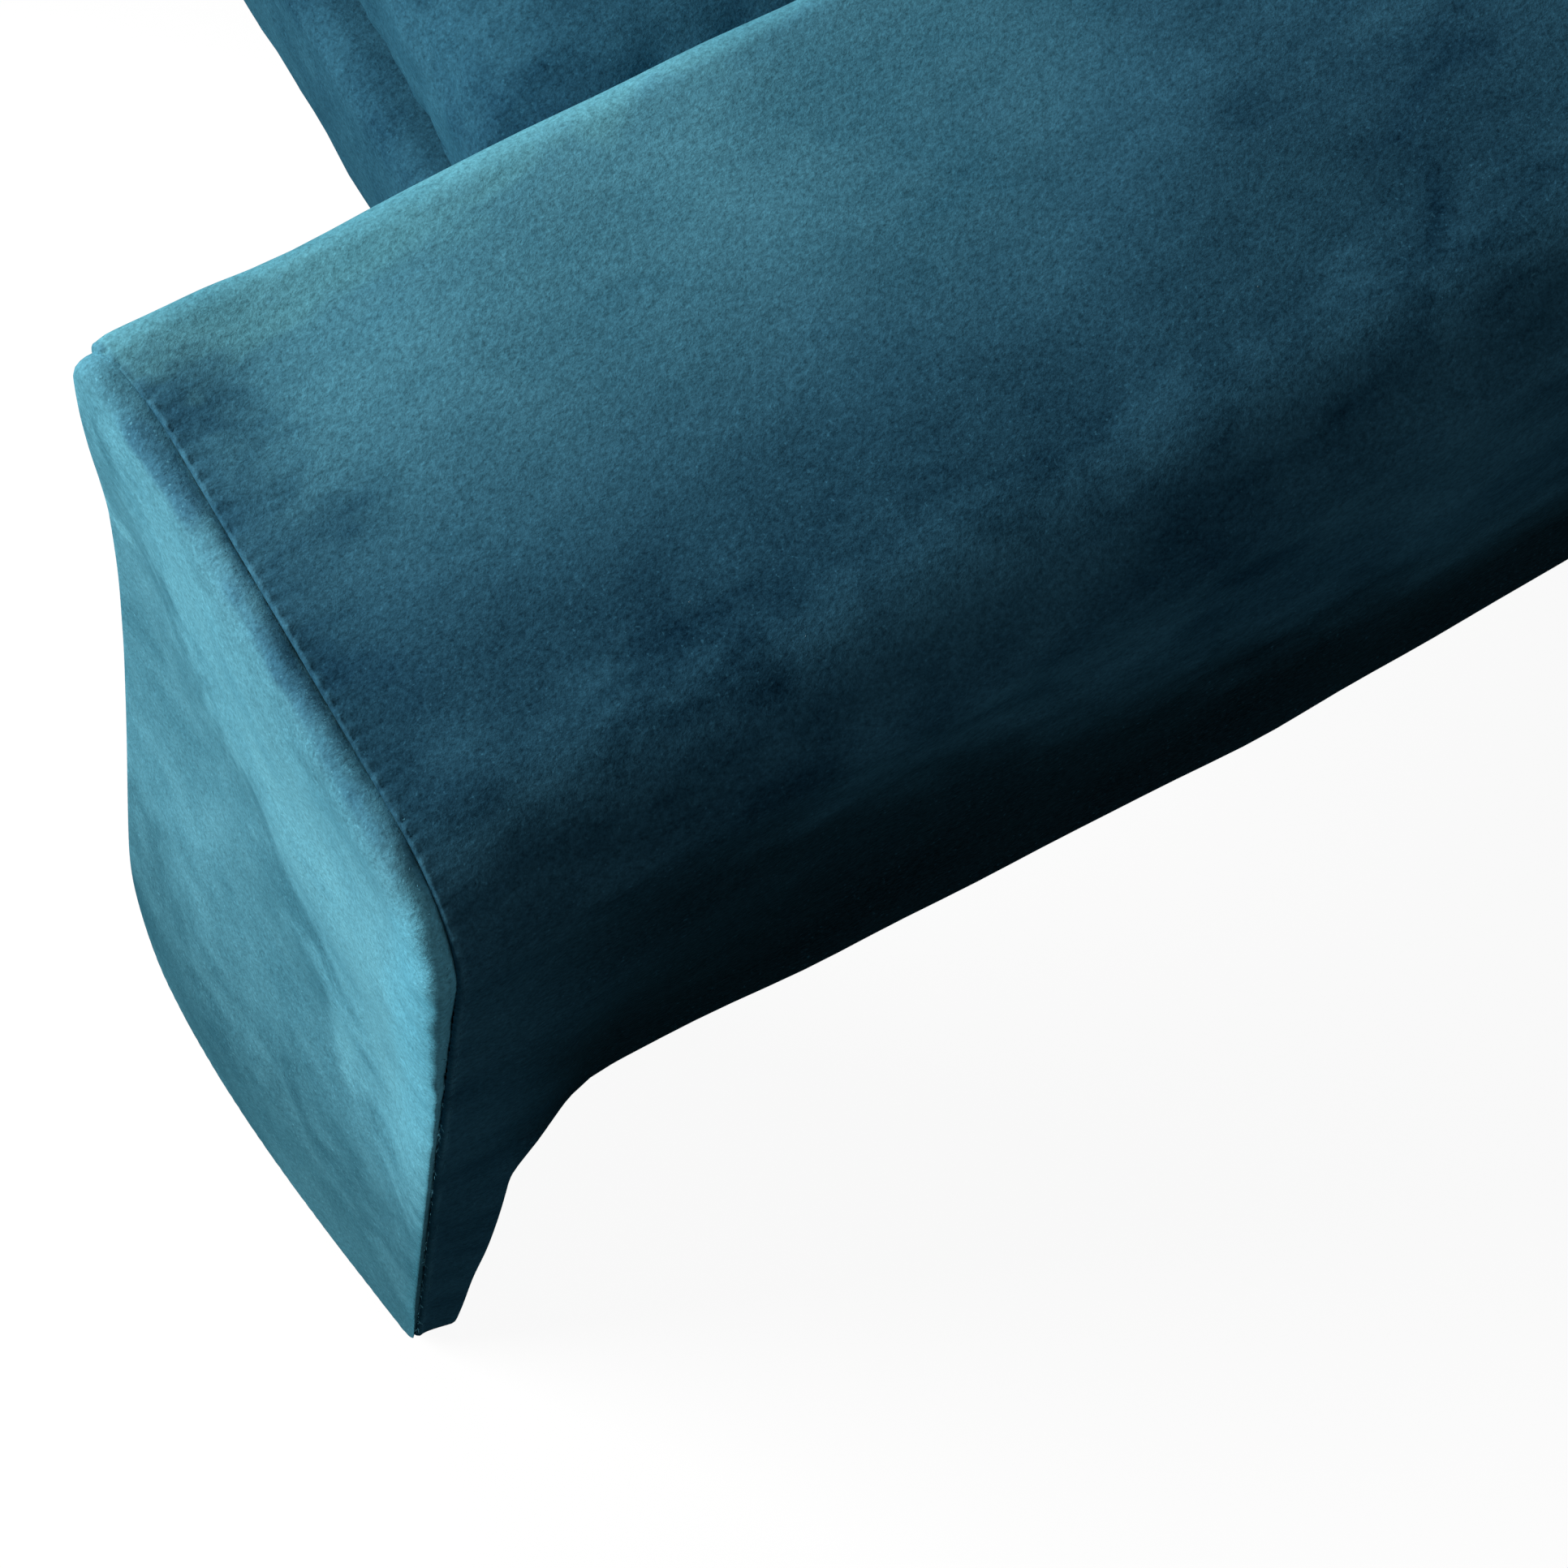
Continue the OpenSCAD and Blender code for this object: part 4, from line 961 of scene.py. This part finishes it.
def soft_plate(name, plan, low, high, roll, puff, material, seed):
    """A thin padded plate over an outline, rolled over at its upper edge."""
    middle = np.array([0, plan[:, 1].mean()])
    thick = high - low
    layers = []
    edge = (high - 0.2 * thick, high - 0.06 * thick, high)
    for share, level in zip((0, 0, 0.2, 0.6, 1), (low, low + thick / 2, *edge)):
        drawn = plan - np.sign(plan - middle) * np.minimum(np.abs(plan - middle), share * roll)
        layers.append(layer(drawn, level))
    for share in np.linspace(0, 1, 11)[1:-1]:
        layers.append(layer(drawn + (middle - drawn) * share, high + puff * math.sin(share * math.pi / 2)))
    count, last = len(plan), (len(layers) - 1) * len(plan)
    verts = np.concatenate([*layers, [[*middle, high + puff]]])
    rippled = verts[2 * count:]
    rippled[:, 2] += 0.0006 * Waves(seed, 0.14)(rippled) + 0.0002 * Waves(seed + 1, 0.03)(rippled)
    faces = ring_faces(count, len(layers)) + [tuple(reversed(range(count)))]
    faces += [(last + i, last + (i + 1) % count, last + count) for i in range(count)]
    return add_mesh(name, verts, faces, material)


# Seat cushion
CUSHION_EDGE, CUSHION_CROWN, CUSHION_R = 0.070, 0.022, 0.034
CUSHION_PLAY, CUSHION_CAP = 0.008, 0.008
SIT_DIP = 0.006


def seat_cushion():
    low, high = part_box("cushion_cover")
    width, depth = high.x - low.x - CUSHION_PLAY, high.y - low.y - CUSHION_PLAY
    verts, faces = pillow_mesh(width, depth, CUSHION_EDGE - 0.002, CUSHION_CROWN, 0.007, CUSHION_R)
    verts = verts + [0, (low.y + high.y) / 2, low.z + 0.001]
    cushion = add_mesh("seat_cushion", verts, faces, VELVET_SEAT)
    lowest = (low.x + 0.0005, low.y - 0.006, low.z + 0.0002)
    swell(cushion, CUSHION_CAP, lowest, (high.x - 0.0005, high.y, high.z + 0.010))
    boxed_seams(cushion, (low.z + 0.012, low.z + CUSHION_EDGE - 0.004), 31)
    relax(cushion, 1, 0.0022, 35)
    # The sitter's dip, a little deeper towards the back
    p = per_vertex(cushion, "co")
    dip = bell(np.hypot(p[:, 0], p[:, 1] - 0.05), 0.17)
    p[:, 2] -= SIT_DIP * dip * smooth(low.z + 0.05, low.z + 0.09, p[:, 2])
    move_to(cushion, p)
    return cushion


finish_piece(seat_cushion(), "velvet", "cushion_cover", "cushion_core", fill=0.8)


# Back, built flat as x across, v up its lean and w to the rear
RAKE = math.radians(12)
BACK_LEN, BACK_LOW, BACK_T, BACK_CROWN = 0.550, 0.095, 0.112, 0.018
PLATE_IN, PLATE_CORNER = 0.004, 0.036
STILE_FOOT = -0.008
BACK_EDGE = BACK_T * 0.07
BACK_SKIN, BACK_CAP = 0.003, 0.014
STRAP_W, STRAP_T, STRAP_BACK, STRAPS_DOWN = 0.050, 0.0016, 0.042, 0.079
FRAME_FRONT = BACK_T - STRAP_BACK
back_lo, back_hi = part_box("back_cover")
BACK_W = back_hi.x - back_lo.x
BACK_Z = 0.205
REACH = (BACK_LEN - BACK_EDGE) * math.sin(RAKE) + (BACK_T + BACK_SKIN) * math.cos(RAKE)
BACK_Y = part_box("back_outside_panel")[1].y - REACH


def lean_back(piece):
    p = per_vertex(piece, "co")
    x, v, w = p.T
    y = BACK_Y + v * math.sin(RAKE) + w * math.cos(RAKE)
    z = BACK_Z + v * math.cos(RAKE) - w * math.sin(RAKE)
    move_to(piece, np.stack([x, y, z], -1))
    return piece


def back_cushion():
    height = BACK_LEN - BACK_LOW - 0.005
    verts, faces = pillow_mesh(BACK_W - 0.003, height, BACK_T, BACK_CROWN, 0.001, 0.040)
    verts = verts * [1, 1, -1] + [0, (BACK_LEN + BACK_LOW) / 2, BACK_T + 0.002]
    back = add_mesh("back_cushion_cover", verts, turned(faces), VELVET_SEAT)
    lowest = (back_lo.x + 0.0003, BACK_LOW - 0.004, -BACK_CROWN - 0.02)
    highest = (back_hi.x - 0.0003, BACK_LEN + 0.004, BACK_T + 0.002)

    def free(p):
        """The cover is held where it runs over the frame."""
        return smooth(FRAME_FRONT, FRAME_FRONT - 0.055, p[:, 2])

    swell(back, BACK_CAP, lowest, highest, free)
    boxed_seams(back, (0.006, BACK_T - 0.014), 41)
    relax(back, -1, 0.0026, 43)
    return lean_back(back)


def back_outside():
    half = BACK_W / 2 - PLATE_IN
    corners = (0.004, PLATE_CORNER, PLATE_CORNER, 0.004)
    plan = rounded_outline(-half, half, STILE_FOOT, BACK_LEN - PLATE_IN, corners, 0.008)
    top = BACK_T + BACK_SKIN
    return lean_back(soft_plate("back_outside_velvet", plan, BACK_T, top, 0.004, 0.003, VELVET_SEAT, 51))


def back_straps(count):
    """Elastic straps across the back frame."""
    low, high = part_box("back_webbing")
    run = BACK_LEN - STRAPS_DOWN - BACK_LOW
    across = np.linspace(low.x, high.x, 40)
    up = np.linspace(0, STRAP_W, 7)
    front = FRAME_FRONT - STRAP_T
    verts, faces = [], []
    for k in range(count):
        start = BACK_LOW + run * (k + 0.5) / count
        loop = [(start + v, front) for v in up] + [(start + v, front + STRAP_T) for v in up[::-1]]
        first = len(verts)
        verts += [(x, v, w) for x in across for v, w in loop]
        rings = [tuple(first + i for i in f) for f in ring_faces(len(loop), len(across))]
        last = len(verts) - len(loop)
        caps = [tuple(range(first, first + len(loop))), tuple(reversed(range(last, len(verts))))]
        faces += turned(rings + caps)
    return lean_back(add_mesh("back_webbing_straps", verts, faces, WEBBING))


finish_piece(back_cushion(), "velvet", "back_cover", "back_foam", fill=0.8)
finish_piece(back_outside(), "velvet_panel", "back_outside_panel", fill=0.4)
finish_piece(back_straps(4), "webbing", "back_webbing")


# Seat front, deck and dust cover
FRONT_LOW_R, FRONT_TOP_R = 0.007, 0.014
FRONT_BELLY = 0.003


def seat_front():
    """The padded front of the seat: a roll across the chair, closed at both ends."""
    low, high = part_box("seat_front_cover")
    y0, y1, z0, z1 = low.y, high.y, low.z, high.z
    profile = [(y1, z0), (y0 + 0.012, z0)]
    for turn in np.radians(np.arange(0, 91, 15)):
        profile.append((y0 + FRONT_LOW_R * (1 - math.sin(turn)), z0 + FRONT_LOW_R * (1 - math.cos(turn))))
    profile += [(y0, z) for z in np.linspace(z0 + FRONT_LOW_R, z1 - FRONT_TOP_R, 12)[1:-1]]
    for turn in np.radians(np.arange(0, 91, 10)):
        profile.append((y0 + FRONT_TOP_R * (1 - math.cos(turn)), z1 - FRONT_TOP_R * (1 - math.sin(turn))))
    top = y0 + 0.02
    profile = np.array(profile + [(top, z1), (top + 0.01, z1), (y1, z1)])
    ends = np.array([0, 0.001, 0.003, 0.006])
    between = np.linspace(low.x + 0.012, high.x - 0.012, 44)
    x = np.concatenate([low.x + ends, between, high.x - ends[::-1]])[:, None]
    inward = unit(profile.mean(axis=0) - profile)
    outside = profile[:, 0] < top
    middle = bell(profile[:, 1] - (z0 + z1) / 2, 0.035) * outside
    share = (x - low.x) / (high.x - low.x)
    belly = FRONT_BELLY * np.sqrt(np.maximum(np.sin(math.pi * share), 0)) * middle
    drawn = rolled(np.minimum(x - low.x, high.x - x), 0.004, 0.008)
    y, z = [profile[:, k] + inward[:, k] * drawn for k in (0, 1)]
    verts = np.stack([x + 0 * y, y - belly, z], -1)
    verts[..., 1] -= (0.0008 * WAVE_A(verts) + 0.0003 * WAVE_C(verts)) * outside
    count, last = len(profile), (len(x) - 1) * len(profile)
    faces = turned(ring_faces(count, len(x)))
    faces += [tuple(range(count)), tuple(reversed(range(last, last + count)))]
    return add_mesh("seat_front_velvet", verts.reshape(-1, 3), faces, VELVET_SEAT)


def seat_deck():
    low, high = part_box("deck_cloth")
    plan = rounded_outline(low.x, high.x, low.y, high.y, (0.004,) * 4, 0.012)
    return soft_plate("seat_deck", plan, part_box("spring_felt")[0].z, high.z, 0.003, 0.0, BLACK_CLOTH, 71)


def dust_cloth(count, sag, width, depth, z):
    """A stretched cloth under the seat that hangs a little in its middle."""
    shares = np.linspace(0, 1, count)
    across, along = [part.ravel() for part in np.meshgrid(shares, shares, indexing="ij")]
    dome = np.sin(math.pi * across) * np.sin(math.pi * along)
    x, y = dust_lo.x + DUST_IN + width * across, dust_lo.y + DUST_IN + depth * along
    verts = np.stack([x, y, 0 * dome + z], -1)
    verts[:, 2] += 0.0006 * WAVE_B(verts) * np.minimum(1, 4 * dome) - sag * dome
    return add_mesh("dust_cover_cloth", verts, turned(grid_faces(count, count)), BLACK_CLOTH)


dust_lo, dust_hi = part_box("dust_cover")
DUST_IN = 0.001
DUST_W, DUST_D = dust_hi.x - dust_lo.x - 2 * DUST_IN, dust_hi.y - dust_lo.y - 2 * DUST_IN
finish_piece(seat_front(), "velvet", "seat_front_cover", "seat_front_pad", fill=0.8)
finish_piece(seat_deck(), "black_cloth", "deck_cloth", "deck_foam", "spring_felt", fill=1.0)
dust = dust_cloth(40, 0.004, DUST_W, DUST_D, dust_hi.z - 0.0006)
finish_piece(dust, "black_cloth", "dust_cover")


# CAD solids whose shape is right
def dress(material, *nodes):
    for node in nodes:
        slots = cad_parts[node].data.materials
        slots.clear()
        slots.append(material)


for side in SIDES:
    boards = ("front_leg_board", "rear_leg_board", "top_board", "outer_rail", "inner_rail")
    dress(PLYWOOD, *["arm_" + board + "_" + side for board in boards])
    dress(BEECH, "arm_glue_blocks_" + side)
dress(BEECH, "seat_front_rail", "seat_rear_rail", "seat_side_rails", "seat_corner_blocks")
dress(BEECH, "back_stiles", "back_top_rail", "back_middle_rail", "back_lower_rail")
dress(SPRING_STEEL, "seat_springs")
dress(ZINC_STEEL, "spring_clips", "arm_bolts", "bolt_washers", "tee_nuts", "frame_screws", "glide_nails")
dress(NYLON, "glides")


# Stage and light
FLOOR_SIZE, FLOOR_Z = 9.0, -0.0005
FLOOR_BOUNCE = 0.05
# The floor glows at this strength, but for a share of it that takes the shadow
FLOOR_WHITE = 1.06
SHADOW_SHARE = 0.12
FILL = 0.055


def seen_directly(tree):
    """1 for rays that show a background: from the camera, or by way of metal or glass."""
    path = tree.nodes.new("ShaderNodeLightPath").outputs
    seen = maths("MAXIMUM", path["Is Camera Ray"], path["Is Glossy Ray"])
    return maths("MAXIMUM", seen, path["Is Transmission Ray"])


def mixed(share, a, b):
    return add_node("ShaderNodeMixShader", {0: share, 1: a, 2: b})


def floor_material():
    """White where it is seen, with a faint shadow near the chair, and dim where it lights the chair."""
    material = bpy.data.materials.new("pale_floor")
    tree = empty_tree(material)
    white = add_node("ShaderNodeEmission", {0: (1, 1, 1), 1: FLOOR_WHITE}, 0, tree)
    pale = add_node("ShaderNodeBsdfDiffuse", {0: (0.85, 0.85, 0.85)}, 0, tree)
    place = add_node("ShaderNodeTexCoord", {}, "Object", tree)
    distance = add_node("ShaderNodeVectorMath", {0: place}, "Value", operation="LENGTH")
    near = product(fade(distance, 1.6, 0.7), SHADOW_SHARE)
    dim = add_node("ShaderNodeBsdfDiffuse", {0: (FLOOR_BOUNCE,) * 3}, 0, tree)
    shader = mixed(seen_directly(tree), dim, mixed(near, white, pale))
    end_tree("ShaderNodeOutputMaterial", shader)
    return material


def add_world():
    """A white background, and a faint cool fill on the chair."""
    world = bpy.data.worlds.new("studio")
    scene.world = world
    tree = empty_tree(world)
    fill = add_node("ShaderNodeBackground", {0: (0.90, 0.96, 1.0), 1: FILL}, 0, tree)
    white = add_node("ShaderNodeBackground", {0: (1, 1, 1), 1: 1.0}, 0, tree)
    end_tree("ShaderNodeOutputWorld", mixed(seen_directly(tree), fill, white))


def add_lamp(name, place, target, size, power, colour):
    data = bpy.data.lights.new(name, "AREA")
    data.shape = "SQUARE"
    data.size = size
    data.energy = power
    data.color = colour
    lamp = add_object(name, data)
    lamp.location = place
    lamp.rotation_euler = (Vector(place) - Vector(target)).to_track_quat("Z", "Y").to_euler()


corner_places = [(x * FLOOR_SIZE, y * FLOOR_SIZE, FLOOR_Z) for x, y in ((-1, -1), (1, -1), (1, 1), (-1, 1))]
add_mesh("floor", corner_places, [(0, 1, 2, 3)], floor_material())
add_world()
add_lamp("window", (-1.15, -2.35, 1.65), (0.2, -0.2, 0.4), 1.6, 110, (1.0, 0.99, 0.97))
add_lamp("side", (-2.6, 0.3, 1.4), (0.1, 0, 0.4), 1.6, 46, (0.95, 0.98, 1.0))
add_lamp("soft_right", (3.0, 0.6, 0.9), (0.4, 0, 0.3), 2.0, 9, (0.95, 0.98, 1.0))
add_lamp("behind", (-0.8, 3.2, 1.2), (0, 0.4, 0.35), 2.0, 34, (0.97, 0.99, 1.0))
scene.view_settings.view_transform = "Standard"
